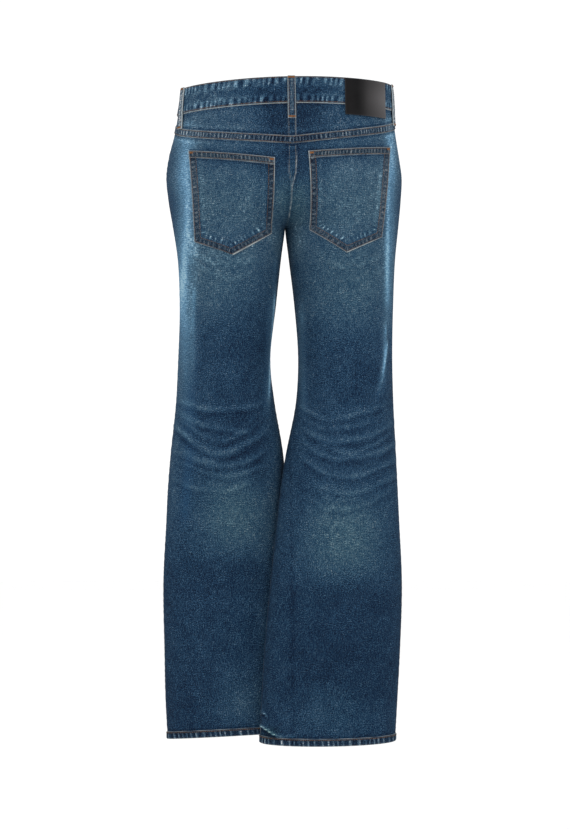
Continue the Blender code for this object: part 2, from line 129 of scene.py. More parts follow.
def smooth_column(name):
    """A column of SECTIONS at every level, on a smooth curve through its rows."""
    heights = np.array([row.height for row in SECTIONS], dtype=float)
    values = np.array([getattr(row, name) for row in SECTIONS], dtype=float)
    slopes = np.gradient(values, heights)
    levels = np.clip(LEVELS, heights[0], heights[-1])
    low = np.clip(np.searchsorted(heights, levels, side="right") - 1, 0, len(heights) - 2)
    span = heights[low + 1] - heights[low]
    t = (levels - heights[low]) / span
    start = (2 * t**3 - 3 * t**2 + 1) * values[low]
    end = (3 * t**2 - 2 * t**3) * values[low + 1]
    leave = (t**3 - 2 * t**2 + t) * span * slopes[low]
    arrive = (t**3 - t**2) * span * slopes[low + 1]
    return start + end + leave + arrive


COLUMNS = {name: smooth_column(name) for name in Section._fields if name != "height"}


def at_height(name, height):
    return np.interp(height, LEVELS, COLUMNS[name])


def section(side, height):
    """Middle, half width, front depth, back depth and forward shift of a section."""
    side, height = np.asarray(side), np.asarray(height)
    outer = np.where(side > 0, at_height("left", height), at_height("right", height))
    gap = np.where(side > 0, at_height("left_gap", height), at_height("right_gap", height))
    split = np.clip((RISE_TOP - height) / (RISE_TOP - CROTCH), 0.0, 1.0)**RISE_ROUNDNESS
    rise = CROTCH_GAP * split - outer * (1 - split) / (1 + split)
    inner = np.where(height > CROTCH, rise, gap)
    shift = -side * at_height("stride", height)
    depths = at_height("front", height), at_height("back", height)
    return (outer + inner) / 2, (outer - inner) / 2, *depths, shift


def inner_turn(side, height):
    """The turn at which the cloth reaches the middle plane, or the inner seam."""
    middle, half, *_ = section(side, height)
    above = np.degrees(np.arccos(np.clip(-middle / half, -1.0, 1.0)))
    return np.where(np.asarray(height) > CROTCH, above, 180.0)


def bare_point(side, turn, height):
    middle, half, front, back, shift = section(side, height)
    angle = np.radians(turn)
    depth = np.where(np.asarray(turn) >= 0, back, front)
    x = side * (middle + half * np.cos(angle))
    y = depth * np.sin(angle) + shift
    return np.stack(np.broadcast_arrays(x, y, height), axis=-1).astype(float)


def unit(vectors):
    """The same directions, each one long."""
    return vectors / np.linalg.norm(vectors, axis=-1, keepdims=True)


def outward(side, turn, height):
    """The direction that points out of the cloth."""
    along = bare_point(side, turn + HALF_STEP, height) - bare_point(side, turn - HALF_STEP, height)
    up = bare_point(side, turn, height + HALF_STEP) - bare_point(side, turn, height - HALF_STEP)
    return unit(np.cross(along, up) * np.asarray(side)[..., None])


def turn_at(side, distance, height, sign):
    """The turn of a point on the back or front, at a distance from the middle."""
    middle, half, *_ = section(side, height)
    return sign * np.degrees(np.arccos(np.clip((distance - middle) / half, -1.0, 1.0)))


def side_and_turn(ring):
    """Side and turn of a ring angle: 0 is the left side, 90 the middle of the back."""
    ring = (np.asarray(ring) + 90.0) % 360.0 - 90.0
    on_left = ring <= 90.0
    return np.where(on_left, LEFT, RIGHT), np.where(on_left, ring, 180.0 - ring)


def ring_angle(side, turn):
    return np.where(np.asarray(side) > 0, turn, 180.0 - turn)


print("width at the hips:", at_height("left", -140.0) + at_height("right", -140.0), "mm")

# %% [markdown]
# ## Creases, fades and streaks
# Worn denim carries a map of its wearer. Cloth bunches behind the knee in shallow
# crescents, whose ridges rub pale. Seats, calves and the outer edge of the leg fade in
# soft clouds and long streaks. A few clouds are painted light and shade instead: two lift
# the shade one leg casts on the other, and one darkens a fold above a hem. All of them are
# rows of short tables, so the same row can both raise the cloth and bleach it. "Across"
# is the distance outwards from the middle of the body, and the back and the front have
# their own rows.

# %% Tables of wear
Fold = namedtuple("Fold", "side turn height width reach slant bow depth")

FOLDS = (
    Fold(RIGHT, 26.0, -400.0, 26.0, 9.0, 4.5, 0.0, 2.2),
    Fold(RIGHT, 150.0, -1000.0, 14.0, 26.0, -0.9, 0.0, 2.4),
    Fold(LEFT, 92.0, -585.0, 17.0, 55.0, 0.0, 0.008, 1.2),
    Fold(RIGHT, 92.0, -600.0, 17.0, 55.0, 0.0, 0.008, 1.2),
    Fold(LEFT, -128.0, -205.0, 12.0, 26.0, -0.9, 0.0, 1.6),
    Fold(RIGHT, -128.0, -205.0, 12.0, 26.0, -0.9, 0.0, 1.6),
    Fold(LEFT, -90.0, -470.0, 20.0, 50.0, 0.0, -0.006, 1.2),
    Fold(RIGHT, -90.0, -480.0, 20.0, 50.0, 0.0, -0.006, 1.2),
)

Crescent = namedtuple(
    "Crescent", "side face outer outer_height low low_height inner inner_height width ridge pale")
BACK = 1
FRONT = -1

# Crescents behind the knees, faint arcs under the pockets, two sharp folds above the
# right hem, then whiskers on the front of the hips and knees
CRESCENTS = [Crescent(*row) for row in (
    (LEFT, BACK, 175, -493, 98, -508, 35, -494, 6.0, 0.5, 0.12),
    (LEFT, BACK, 172, -506, 118, -536, 60, -545, 5.0, 0.5, 0.12),
    (LEFT, BACK, 168, -516, 112, -556, 46, -530, 5.0, 0.5, 0.10),
    (LEFT, BACK, 178, -530, 106, -576, 22, -526, 6.5, 0.9, 0.17),
    (LEFT, BACK, 178, -556, 128, -588, 52, -562, 4.5, 0.6, 0.10),
    (LEFT, BACK, 178, -572, 95, -596, 27, -563, 6.0, 0.8, 0.13),
    (LEFT, BACK, 168, -588, 96, -612, 22, -590, 4.5, 0.5, 0.10),
    (LEFT, BACK, 182, -612, 112, -636, 36, -608, 5.0, 0.6, 0.08),
    (RIGHT, BACK, 150, -499, 62, -522, 14, -496, 5.5, 0.5, 0.11),
    (RIGHT, BACK, 130, -527, 56, -538, 20, -512, 5.0, 0.4, 0.08),
    (RIGHT, BACK, 168, -529, 73, -558, 16, -528, 6.0, 0.8, 0.13),
    (RIGHT, BACK, 160, -546, 98, -574, 40, -560, 4.5, 0.4, 0.09),
    (RIGHT, BACK, 172, -562, 81, -584, 18, -556, 6.0, 0.9, 0.13),
    (RIGHT, BACK, 170, -588, 77, -613, 6, -562, 5.0, 0.8, 0.12),
    (RIGHT, BACK, 170, -611, 84, -638, 26, -616, 5.0, 0.6, 0.11),
    (RIGHT, BACK, 158, -636, 68, -664, 27, -640, 5.0, 0.7, 0.09),
    (LEFT, BACK, 156, -258, 104, -284, 46, -270, 5.0, 0.4, 0.05),
    (LEFT, BACK, 152, -276, 98, -304, 50, -294, 5.0, 0.4, 0.04),
    (RIGHT, BACK, 152, -262, 84, -286, 38, -258, 5.0, 0.4, 0.04),
    (RIGHT, BACK, 112, -650, 72, -648, 30, -624, 4.0, 0.4, 0.08),
    (RIGHT, BACK, 8, -1018, -3, -1017, -62, -984, 2.8, 2.0, 0.46),
    (RIGHT, BACK, -32, -990, -39, -982, -50, -990, 2.6, 1.2, 0.34),
    (LEFT, FRONT, 170, -150, 90, -178, 12, -196, 6.0, 0.9, 0.16),
    (RIGHT, FRONT, 172, -148, 84, -180, 12, -196, 6.0, 0.9, 0.16),
    (LEFT, FRONT, 168, -182, 92, -205, 10, -212, 5.0, 0.8, 0.14),
    (RIGHT, FRONT, 170, -180, 96, -208, 10, -212, 5.0, 0.8, 0.14),
    (LEFT, FRONT, 160, -228, 90, -236, 20, -226, 5.0, 0.6, 0.10),
    (RIGHT, FRONT, 164, -225, 86, -238, 20, -227, 5.0, 0.6, 0.10),
    (LEFT, FRONT, 166, -470, 98, -452, 34, -474, 6.0, 0.7, 0.10),
    (RIGHT, FRONT, 166, -478, 92, -460, 32, -478, 6.0, 0.7, 0.10),
    (LEFT, FRONT, 168, -540, 100, -558, 26, -538, 6.0, 0.7, 0.08),
    (RIGHT, FRONT, 168, -548, 94, -566, 24, -546, 6.0, 0.7, 0.08),
)]

Streak = namedtuple("Streak", "side face top_across top foot_across foot width ridge pale")

# Long pale streaks down the outer edge and the inner leg
STREAKS = [Streak(*row) for row in (
    (LEFT, BACK, 161, -58, 165, -500, 17.0, 0.0, 0.40),
    (LEFT, BACK, 156, -170, 163, -350, 4.5, 0.3, 0.11),
    (LEFT, BACK, 146, -310, 147, -455, 4.5, 0.2, 0.16),
    (LEFT, BACK, 151, -560, 160, -690, 8.0, 0.2, 0.08),
    (LEFT, BACK, 157, -345, 154, -560, 12.0, 0.0, 0.13),
    (RIGHT, BACK, 159.5, -40, 158.5, -430, 12.0, 0.0, 0.29),
    (RIGHT, BACK, 152.5, -125, 154.5, -350, 4.0, 0.4, 0.20),
    (RIGHT, BACK, 153, -368, 149, -480, 4.5, 0.3, 0.30),
    (RIGHT, BACK, 158, -398, 139, -492, 3.2, 0.8, 0.30),
    (LEFT, BACK, 20, -322, 30, -505, 2.8, 0.5, 0.44),
    (LEFT, BACK, 26, -330, 32, -510, 7.0, 0.0, 0.26),
    (RIGHT, BACK, 24, -340, 27, -520, 6.0, 0.3, 0.32),
    (LEFT, BACK, 20, -270, 22, -350, 4.0, 0.2, 0.14),
    (LEFT, FRONT, 163, -58, 166, -500, 15.0, 0.0, 0.28),
    (RIGHT, FRONT, 163, -40, 165, -440, 13.0, 0.0, 0.24),
    (LEFT, FRONT, 26, -360, 29, -500, 4.0, 0.3, 0.26),
    (RIGHT, FRONT, 25, -360, 28, -490, 4.0, 0.3, 0.22),
)]

Cloud = namedtuple("Cloud", "side face across height wide up down pale green", defaults=(0.0,))

# Soft clouds of fading, and darker places with a minus sign
CLOUDS = [Cloud(*row) for row in (
    (LEFT, BACK, 98, -290, 66, 60, 78, 0.21, 0.3),
    (RIGHT, BACK, 90, -300, 66, 66, 80, 0.21, 0.4),
    (LEFT, BACK, 136, -26, 62, 50, 52, 0.10),
    (LEFT, BACK, 146, -128, 14, 60, 90, 0.10),
    (LEFT, BACK, 146, -246, 9, 24, 28, 0.14),
    (RIGHT, BACK, 171, -102, 21, 52, 56, 0.19),
    (RIGHT, BACK, 92, -62, 60, 40, 36, -0.05),
    (LEFT, BACK, 20, -240, 16, 26, 34, 0.14, 0.2),
    (RIGHT, BACK, 20, -240, 16, 26, 34, 0.14, 0.2),
    (LEFT, BACK, 12, -50, 42, 44, 48, -0.32),
    (RIGHT, BACK, 12, -50, 38, 44, 48, -0.31),
    (LEFT, BACK, 14, -120, 46, 28, 40, -0.17),
    (RIGHT, BACK, 14, -120, 40, 28, 40, -0.19),
    (LEFT, BACK, 64, -325, 42, 44, 70, -0.12),
    (RIGHT, BACK, 76, -295, 44, 46, 44, -0.10),
    # Painted light, which lifts the shade the right leg casts on the left leg's inner edge
    (LEFT, BACK, 14, -650, 13, 120, 120, 0.12),
    (LEFT, BACK, 177, -625, 13, 110, 110, 0.12),
    # Painted light again, lower down the same edge
    (LEFT, BACK, 34, -850, 13, 220, 150, 0.10),
    (LEFT, BACK, 74, -545, 38, 60, 52, -0.11),
    (LEFT, BACK, 162, -264, 11, 28, 32, -0.08),
    (LEFT, BACK, 165, -402, 9, 40, 40, -0.06),
    (LEFT, BACK, 62, -424, 28, 62, 62, -0.06),
    (LEFT, BACK, 42, -604, 18, 42, 48, -0.09),
    (RIGHT, BACK, 108, -465, 34, 42, 42, -0.05),
    (RIGHT, BACK, 27, -624, 14, 62, 62, -0.06),
    (LEFT, BACK, 172, -45, 16, 40, 24, -0.12),
    (LEFT, BACK, 154, -20, 16, 26, 20, 0.13),
    (LEFT, BACK, 150, -975, 46, 60, 60, -0.06),
    (LEFT, BACK, 62, -975, 22, 22, 30, 0.08),
    (RIGHT, BACK, 76, -915, 90, 74, 62, -0.10),
    # A painted shadow below the sharp fold above the right hem, with a brownish stain tint
    (RIGHT, BACK, -30, -1010, 14, 8, 12, -0.12, 1.0),
    (LEFT, BACK, 4, -185, 30, 40, 30, 0.08, 0.7),
    (RIGHT, BACK, 4, -190, 30, 40, 34, 0.08, 0.8),
    (LEFT, BACK, 184, -215, 11, 46, 56, -0.24),
    (LEFT, BACK, 166, -208, 12, 36, 46, -0.08),
    (RIGHT, BACK, 183, -205, 9, 62, 90, -0.14),
    (LEFT, BACK, 83, -672, 56, 66, 66, 0.24, 0.6),
    (RIGHT, BACK, 84, -712, 66, 72, 62, 0.28, 0.6),
    (LEFT, BACK, 83, -765, 90, 22, 26, -0.06),
    (RIGHT, BACK, 84, -800, 90, 22, 26, -0.06),
    (LEFT, BACK, 70, -968, 46, 44, 34, 0.14, 0.2),
    (RIGHT, BACK, 62, -974, 50, 40, 34, 0.12, 0.2),
    (LEFT, FRONT, 184, -215, 11, 46, 56, -0.14),
    (RIGHT, FRONT, 171, -98, 21, 56, 56, 0.15),
    (RIGHT, FRONT, 183, -205, 9, 62, 80, -0.12),
    (LEFT, FRONT, 92, -330, 60, 150, 190, 0.24, 0.3),
    (RIGHT, FRONT, 90, -336, 60, 150, 190, 0.24, 0.3),
    (LEFT, FRONT, 96, -600, 58, 70, 90, 0.17, 0.4),
    (RIGHT, FRONT, 92, -610, 58, 70, 90, 0.17, 0.4),
    (LEFT, FRONT, 70, -980, 46, 40, 34, 0.10, 0.2),
    (RIGHT, FRONT, 62, -984, 46, 40, 34, 0.10, 0.2),
)]

# How faded the cloth is from the waist to the hem, where nothing else is said
TONES = ((-1040, 0.26), (-980, 0.24), (-800, 0.23), (-700, 0.28), (-560, 0.32), (-480, 0.30),
         (-400, 0.29), (-340, 0.37), (-240, 0.43), (-120, 0.44), (20, 0.48))
print("crescents:", len(CRESCENTS), "streaks:", len(STREAKS), "clouds:", len(CLOUDS))


# %% [markdown]
# ## From rows to shares
# Each kind of row has a function that says how strongly a point feels it, from 0 to 1.
# Crescents and streaks taper off at both ends, and clouds thin out on every side. The
# sum of the rows gives the relief of the cloth and how faded it is.


# %% Reading the tables
# How a crescent bends, where along each arm it starts to fade, and how many of its
# widths the trough lies below the ridge
CRESCENT_BEND = 1.8
FADES_FROM_OUTWARDS = 0.72
FADES_FROM_INWARDS = 0.55
TROUGH_DROP = 1.7
# Powers of the soft edges: the higher, the flatter the middle and the crisper the edge
STREAK_EDGE = 2.2
CLOUD_SIDES = 2.6
CLOUD_ENDS = 2.8


def smooth_step(value):
    value = np.clip(value, 0.0, 1.0)
    return value * value * (3.0 - 2.0 * value)


def near(distance, place, reach, power=2):
    """A soft line on the cloth: 1 at its place and almost nothing past twice its reach."""
    return np.exp(-np.abs((distance - place) / reach)**power)


def crescent_share(row, across, height):
    """How much of a crescent's ridge a point has, and of the trough below it."""
    outwards = across > row.low
    end = np.where(outwards, row.outer, row.inner)
    end_height = np.where(outwards, row.outer_height, row.inner_height)
    share = np.abs((across - row.low) / (end - row.low))
    sway = 1.5 * np.sin(across * 0.077 + row.low_height) + 0.5 * np.sin(across * 0.19 + row.outer)
    line = row.low_height + (end_height - row.low_height) * share**CRESCENT_BEND + sway
    beat = 0.2 * np.sin(across * 0.09 + 0.7 * row.low_height) + 0.08 * np.sin(across * 0.27 + row.inner)
    swell = 0.84 + beat
    width = row.width * (0.56 + 0.3 * swell)
    fades_from = np.where(outwards, FADES_FROM_OUTWARDS, FADES_FROM_INWARDS)
    middle = 0.80 + 0.22 * smooth_step(share / 0.35)
    taper = swell * middle * (1.0 - smooth_step((share - fades_from) / 0.5))
    return taper * near(height, line, width), taper * near(height, line - TROUGH_DROP * width, width)


def streak_share(row, across, height):
    """How much of a streak a point has, which sets in quickly and dies away slowly."""
    share = (row.top - height) / (row.top - row.foot)
    line = row.top_across + (row.foot_across - row.top_across) * share
    taper = smooth_step((share + 0.12) / 0.3) * (1.0 - smooth_step((share - 0.75) / 0.4))
    return taper * near(across, line, row.width, STREAK_EDGE)


def cloud_share(row, across, height):
    tall = np.where(height > row.height, row.up, row.down)
    return near(across, row.across, row.wide, CLOUD_SIDES) * near(height, row.height, tall, CLOUD_ENDS)


def on_face(row, side, turn, share):
    """Keeps a row's share on its own leg and its own face."""
    face = np.where(np.asarray(turn) >= 0, BACK, FRONT)
    return np.where((np.asarray(side) == row.side) & (face == row.face), share, 0.0)


def relief(side, turn, height):
    """How far creases raise the cloth."""
    rise = np.zeros(turn.shape)
    for fold in FOLDS:
        along = turn - fold.turn
        line = fold.height + fold.slant * along + fold.bow * along**2
        trough = fold.depth * near(height, line, fold.width) * near(along, 0.0, fold.reach, 4)
        rise = rise - np.where(side == fold.side, trough, 0.0)
    across = side * bare_point(side, turn, height)[..., 0]
    for row in CRESCENTS:
        ridge, trough = crescent_share(row, across, height)
        rise = rise + row.ridge * on_face(row, side, turn, ridge - 0.6 * trough)
    for row in STREAKS:
        rise = rise + row.ridge * on_face(row, side, turn, streak_share(row, across, height))
    return rise


def wear_light_and_shade(side, turn, height):
    """How faded the cloth is, from 0 to 1, with some painted light and shade in it, how green the fade is and
    how blue.
    """
    heights, tones = zip(*TONES)
    across = side * bare_point(side, turn, height)[..., 0]
    fade = np.interp(height, heights, tones)
    green = np.zeros(turn.shape)
    for row in CLOUDS:
        share = on_face(row, side, turn, cloud_share(row, across, height))
        fade = fade + row.pale * share
        green = np.maximum(green, row.green * share)
    for row in CRESCENTS:
        ridge, trough = crescent_share(row, across, height)
        fade = fade + row.pale * on_face(row, side, turn, 1.85 * ridge - 1.2 * trough)
    blue = np.zeros(turn.shape)
    for row in STREAKS:
        share = on_face(row, side, turn, streak_share(row, across, height))
        fade = fade + row.pale * share
        blue = np.maximum(blue, share)
    return {"fade": fade, "green": green, "blue": blue}


knee = wear_light_and_shade(LEFT, np.array([90.0]), np.array([-560.0]))
print("fade behind the left knee:", round(float(knee["fade"][0]), 2))

# %% [markdown]
# ## Points on the cloth
# The creases are part of the surface, so a piece asks for a point with a lift and gets
# it with the relief already in it. Pieces of the waist lie flat and take no creases.


# %% Points of the garment
def cloth(side, turn, height, lift):
    """Points of the garment, lifted out of the cloth's inner face."""
    side, turn, height = np.broadcast_arrays(side, turn, height)
    lift = lift + relief(side, turn, height)
    point = bare_point(side, turn, height) + outward(side, turn, height) * lift[..., None]
    clear = np.maximum(side * point[..., 0], JOIN / 2)
    point[..., 0] = np.where(height > CROTCH, side * clear, point[..., 0])
    return point


def ring_point(ring, height, lift):
    """Points of the waist by ring angle, with no gap at the middle."""
    side, turn = side_and_turn(ring)
    side, turn, height = np.broadcast_arrays(side, turn, height)
    lift = np.broadcast_to(lift, turn.shape)
    return bare_point(side, turn, height) + outward(side, turn, height) * lift[..., None]


MID_BAND = -20.0


def ring_step(ring, distance):
    """The change of ring angle that walks a distance along the waist."""
    step = ring_point(ring + HALF_STEP, MID_BAND, 0.0) - ring_point(ring - HALF_STEP, MID_BAND, 0.0)
    return distance / np.linalg.norm(step)


print("a centimetre along the front of the waist:", round(float(ring_step(-90.0, 10.0)), 2), "degrees")

# %% [markdown]
# ## Seam lines
# The seams are functions of the place round the body: the waistband's two edges, the
# shallow V of the yoke, the scoop of the front pockets and the slope of each hem.


# %% Seam lines
MOUTH_TURN = 46.0
MOUTH_DEPTH = 66.0


def waist_top(ring):
    facing = np.sin(np.radians(ring))
    rise = np.where(facing > 0, WAIST_BACK, WAIST_FRONT)
    return rise * facing**2 - HIP_TILT * np.cos(np.radians(ring))


def waist_seam(ring):
    return waist_top(ring) - WAISTBAND_HEIGHT


def yoke_seam(ring):
    turn = side_and_turn(ring)[1]
    share = np.clip(turn / 90.0, 0.0, 1.0)
    return YOKE_AT_SIDE - YOKE_DROP * share**YOKE_CURVE - YOKE_TILT * np.cos(np.radians(ring))


def mouth_line(ring):
    turn = side_and_turn(ring)[1]
    share = np.clip(np.abs(turn) / MOUTH_TURN, 0.0, 1.0)
    return waist_seam(ring) - MOUTH_DEPTH * np.sqrt(1.0 - share**2)


def hem_line(side, turn):
    at_side, at_back, at_inner = HEM_LEVELS[side]
    angle = np.radians(turn)
    middle = (at_side + at_inner) / 2
    return middle + (at_side - at_inner) / 2 * np.cos(angle) + (at_back - middle) * np.sin(angle)


print("yoke height at the middle:", round(float(waist_seam(90.0) - yoke_seam(90.0)), 1), "mm")

# %% [markdown]
# ## Puckers and rubbed edges
# A sewn edge draws up as the thread shrinks in the wash. The cloth between the rows
# ripples every centimetre or so, and each ripple's top rubs pale while the dips stay
# dark. The outermost fold of an edge wears almost white. The ripple is a sine whose
# phase wanders, so no two puckers are alike and yet each run gives the same ones.


# %% Puckers, edges and spacing
def wander(run, pitch, seed):
    """A wave from -1 to 1 along a seam, whose spacing is uneven."""
    phase = run / pitch + 0.33 * np.sin(run * 0.11 + seed) + 0.21 * np.sin(run * 0.047 + 2.3 * seed)
    return np.sin(2 * math.pi * phase)


def pucker(run, pitch, seed):
    """An uneven ripple that is strong in places and weak in others."""
    return (0.72 + 0.28 * np.sin(run * 0.063 + 1.7 * seed)) * wander(run, pitch, seed)


def dashes(run, pitch, seed):
    """Narrow pale marks with wide dark gaps between them, as rubbed puckers leave."""
    height = 1.2 + 0.3 * np.sin(run * 0.17 + 2.1 * seed)
    return height * np.clip(wander(run, pitch, seed), 0.0, 1.0)**1.4 - 0.42


def teeth(run, pitch, seed):
    """Pale marks as wide as the gaps between them, where a folded band ropes."""
    height = 0.8 + 0.3 * np.sin(run * 0.13 + 1.3 * seed)
    return height * np.clip(1.7 * wander(run, pitch, seed) + 0.25, -0.6, 1.0)


def patchy(run, seed):
    """A slow uneven share from 0 to 1, for wear that comes and goes."""
    return 0.5 + 0.3 * np.sin(run * 0.19 + seed) + 0.2 * np.sin(run * 0.071 + 1.9 * seed)


def held_below(fade, limit):
    """Keeps most of what is over a limit from bleaching the cloth further."""
    return np.minimum(fade, limit) + 0.3 * np.maximum(fade - limit, 0.0)


def rubbed(distance, reach):
    """The pale line on the fold of an edge."""
    return near(distance, 0.0, reach)


def edge_rows(length, step):
    """Places across a piece, close together at both of its edges."""
    ends = np.array([0.0, 0.3, 0.8, 1.5, 2.4, 3.6])
    count = max(2, round((length - 2 * ends[-1]) / step) + 1)
    middle = np.linspace(ends[-1], length - ends[-1], count)
    return np.concatenate((ends[:-1], middle, length - ends[-2::-1]))


def rolled(distance, wall, roll=1.1):
    """How far the outside of a folded edge rounds off towards its middle."""
    away = np.clip(1.0 - distance / roll, 0.0, 1.0)
    return 0.42 * wall * away**2


print("rows over a waistband:", len(edge_rows(WAISTBAND_HEIGHT, 1.7)))

# %% [markdown]
# ## Cloth as a closed shell
# A single skin would show its back faces and have no edge, so each piece is a wall: an
# outer grid, an inner grid and strips that join them. NumPy writes the mesh in one go,
# which is much faster than adding faces one at a time. The shell also carries what
# its material reads: the flat place of each point in the cut (a UV map in metres, so
# that the weave keeps its real size), how faded it is with some painted light and shade
# mixed in, how green, and how rubbed, which on the leather also holds a painted sheen.


# %% A mesh from arrays
def put_in_scene(name, data):
    thing = bpy.data.objects.new(name, data)
    bpy.context.scene.collection.objects.link(thing)
    return thing


def mesh_object(name, vertices, faces, material):
    """A mesh from arrays of vertices in millimetres and faces of four corners."""
    mesh = bpy.data.meshes.new(name)
    mesh.vertices.add(len(vertices))
    mesh.vertices.foreach_set("co", (vertices * METRES).astype(np.float32).ravel())
    mesh.loops.add(faces.size)
    mesh.loops.foreach_set("vertex_index", faces.astype(np.int32).ravel())
    mesh.polygons.add(len(faces))
    mesh.polygons.foreach_set("loop_start", np.arange(0, faces.size, faces.shape[1], dtype=np.int32))
    mesh.update(calc_edges=True)
    mesh.validate()
    mesh.shade_smooth()
    mesh.materials.append(material)
    return put_in_scene(name, mesh)


def add_attribute(piece, name, values):
    """Stores a number for each vertex, which a material can read by its name."""
    attribute = piece.data.attributes.new(name, "FLOAT", "POINT")
    attribute.data.foreach_set("value", values.astype(np.float32))


def is_inside_out(vertices, faces):
    corners = vertices[faces]
    normal = np.cross(corners[:, 2] - corners[:, 0], corners[:, 3] - corners[:, 1])
    return float(np.sum(corners.mean(axis=1) * normal)) < 0.0


print("meshes so far:", len(bpy.data.meshes))

# %% [markdown]
# ## The faces of a shell
# Both skins and the strips between them are counted out in one go. Each face is listed
# twice: by its vertices, and by its corners on the flat cut. Both skins share one cut,
# and in a closed ring the cut's last column meets the vertices of the first.


# %% Shells of cloth
# Edges that turn by more than this are drawn sharp
SHARP_TURN = math.radians(55)


def walk_across(points):
    """How far each point lies along its row, from the middle column."""
    steps = np.linalg.norm(np.diff(points, axis=1), axis=-1)
    walked = np.concatenate((np.zeros((len(points), 1)), np.cumsum(steps, axis=1)), axis=1)
    return walked - walked[:, walked.shape[1] // 2][:, None]


def shell_faces(rows, columns, uv_columns):
    """The corners of all faces, first as vertices and then as places on the flat cut."""
    left = np.arange(uv_columns - 1)
    right = (left + 1) % columns
    top = np.arange(rows - 1)[:, None]
    skin = np.stack((top * columns + left, top * columns + right,
                     (top + 1) * columns + right, (top + 1) * columns + left), axis=-1).reshape(-1, 4)
    skin_uv = np.stack((top * uv_columns + left, top * uv_columns + left + 1,
                        (top + 1) * uv_columns + left + 1, (top + 1) * uv_columns + left), axis=-1)
    skin_uv = skin_uv.reshape(-1, 4)
    back = rows * columns
    faces = [skin, skin[:, ::-1] + back]
    corners = [skin_uv, skin_uv[:, ::-1]]
    for row, flip in ((0, 1), (rows - 1, -1)):
        start = row * columns
        edge = np.stack((start + right, start + left, start + left + back, start + right + back), axis=-1)
        edge_uv = row * uv_columns + np.stack((left + 1, left, left, left + 1), axis=-1)
        faces.append(edge[:, ::flip])
        corners.append(edge_uv[:, ::flip])
    if uv_columns == columns:
        for column, flip in ((0, 1), (columns - 1, -1)):
            upper = np.arange(rows - 1) * columns + column
            lower = upper + columns
            faces.append(np.stack((upper, lower, lower + back, upper + back), axis=-1)[:, ::flip])
            corners.append(np.stack((upper, lower, lower, upper), axis=-1)[:, ::flip])
    return np.concatenate(faces), np.concatenate(corners)


def shell(name, outside, inside, material, marks, offset=0.0, is_ring=False):
    """A wall of cloth between two grids, with its marks and its flat cut as a UV map."""
    rows, columns = outside.shape[:2]
    closed = np.concatenate((outside, outside[:, :1]), axis=1) if is_ring else outside
    flat = np.stack((walk_across(closed), closed[..., 2]), axis=-1) * METRES
    flat[..., 0] += offset
    faces, corners = shell_faces(rows, columns, closed.shape[1])
    vertices = np.concatenate((outside.reshape(-1, 3), inside.reshape(-1, 3)))
    if is_inside_out(vertices, faces):
        faces = faces[:, ::-1]
        corners = corners[:, ::-1]
    piece = mesh_object(name, vertices, faces, material)
    layer = piece.data.uv_layers.new(name="cloth")
    layer.data.foreach_set("uv", flat.reshape(-1, 2)[corners.ravel()].astype(np.float32).ravel())
    marks = {"green": 0.0, "blue": 0.0, "warm": 0.0, "rub": 0.0, **marks}
    marks["rub"] = np.clip(marks["rub"], 0.0, 1.0)
    for mark, value in marks.items():
        values = np.broadcast_to(value, (rows, columns)).ravel()
        add_attribute(piece, mark, np.concatenate((values, values)))
    add_attribute(piece, "inner", np.repeat((0.0, 1.0), rows * columns))
    piece.data.set_sharp_from_angle(angle=SHARP_TURN)
    return piece


def cloth_shell(name, places, outer, inner, material, marks, **how):
    """A wall of cloth between two lifts, at places that are sides, turns and heights."""
    return shell(name, cloth(*places, outer), cloth(*places, inner), material, marks, **how)


def hang(piece, slot, *nodes):
    """The piece rides on the one body and stands for the plain solids it covers."""
    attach(piece, "root")
    if nodes:
        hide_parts(*nodes)
    return piece


print("faces of a shell with 3 rows and 4 columns:", len(shell_faces(3, 4, 4)[0]))

# %% [markdown]
# ## Shader maths in plain Python
# Node trees are sums in disguise. A small class holds a socket, and Python's own
# operators add the Math nodes, so a material below reads as a formula. One method adds
# any other node from its type, its settings and the values or links of its sockets.


# %% A socket that does sums
class Wire:
    """One output socket. Sums with it add Math nodes to its tree."""

    def __init__(self, tree, socket):
        self.tree = tree
        self.socket = socket

    def node(self, kind, settings, sockets, out=0):
        return add_node(self.tree, kind, settings, sockets, out)

    def math(self, operation, first, second):
        return self.node("ShaderNodeMath", {"operation": operation}, {0: first, 1: second})

    def __add__(self, other):
        return self.math("ADD", self, other)

    def __radd__(self, other):
        return self.math("ADD", other, self)

    def __sub__(self, other):
        return self.math("SUBTRACT", self, other)

    def __rsub__(self, other):
        return self.math("SUBTRACT", other, self)

    def __mul__(self, other):
        return self.math("MULTIPLY", self, other)

    def __rmul__(self, other):
        return self.math("MULTIPLY", other, self)

    def __pow__(self, other):
        return self.math("POWER", self, other)

    def limited(self):
        return self.node("ShaderNodeClamp", {}, {"Value": self})

    def wave(self):
        """A sine of the value, from 0 to 1."""
        return self.node("ShaderNodeMath", {"operation": "SINE"}, {0: self}) * 0.5 + 0.5

    def above(self, low, high):
        """0 below low, 1 above high, and smooth between them."""
        limits = {"Value": self, "From Min": low, "From Max": high}
        return self.node("ShaderNodeMapRange", {"interpolation_type": "SMOOTHSTEP"}, limits)


def add_node(tree, kind, settings, sockets, out=0):
    """Adds a node: its settings first, then the values or links of its sockets."""
    made = tree.nodes.new(kind)
    for name, value in settings.items():
        if name == "stops":
            set_stops(made.color_ramp, value)
        else:
            setattr(made, name, value)
    for name, value in sockets.items():
        if isinstance(value, Wire):
            tree.links.new(value.socket, made.inputs[name])
        else:
            made.inputs[name].default_value = value
    return Wire(tree, made.outputs[out])


def set_stops(ramp, stops):
    while len(ramp.elements) < len(stops):
        ramp.elements.new(0.5)
    for element, (place, colour) in zip(ramp.elements, stops):
        element.position = place
        element.color = colour


def srgb(red, green, blue):
    """A linear colour from the 0 to 255 numbers a picture shows."""
    shares = [value / 255.0 for value in (red, green, blue)]
    linear = [s / 12.92 if s <= 0.04045 else ((s + 0.055) / 1.055)**2.4 for s in shares]
    return (*linear, 1.0)


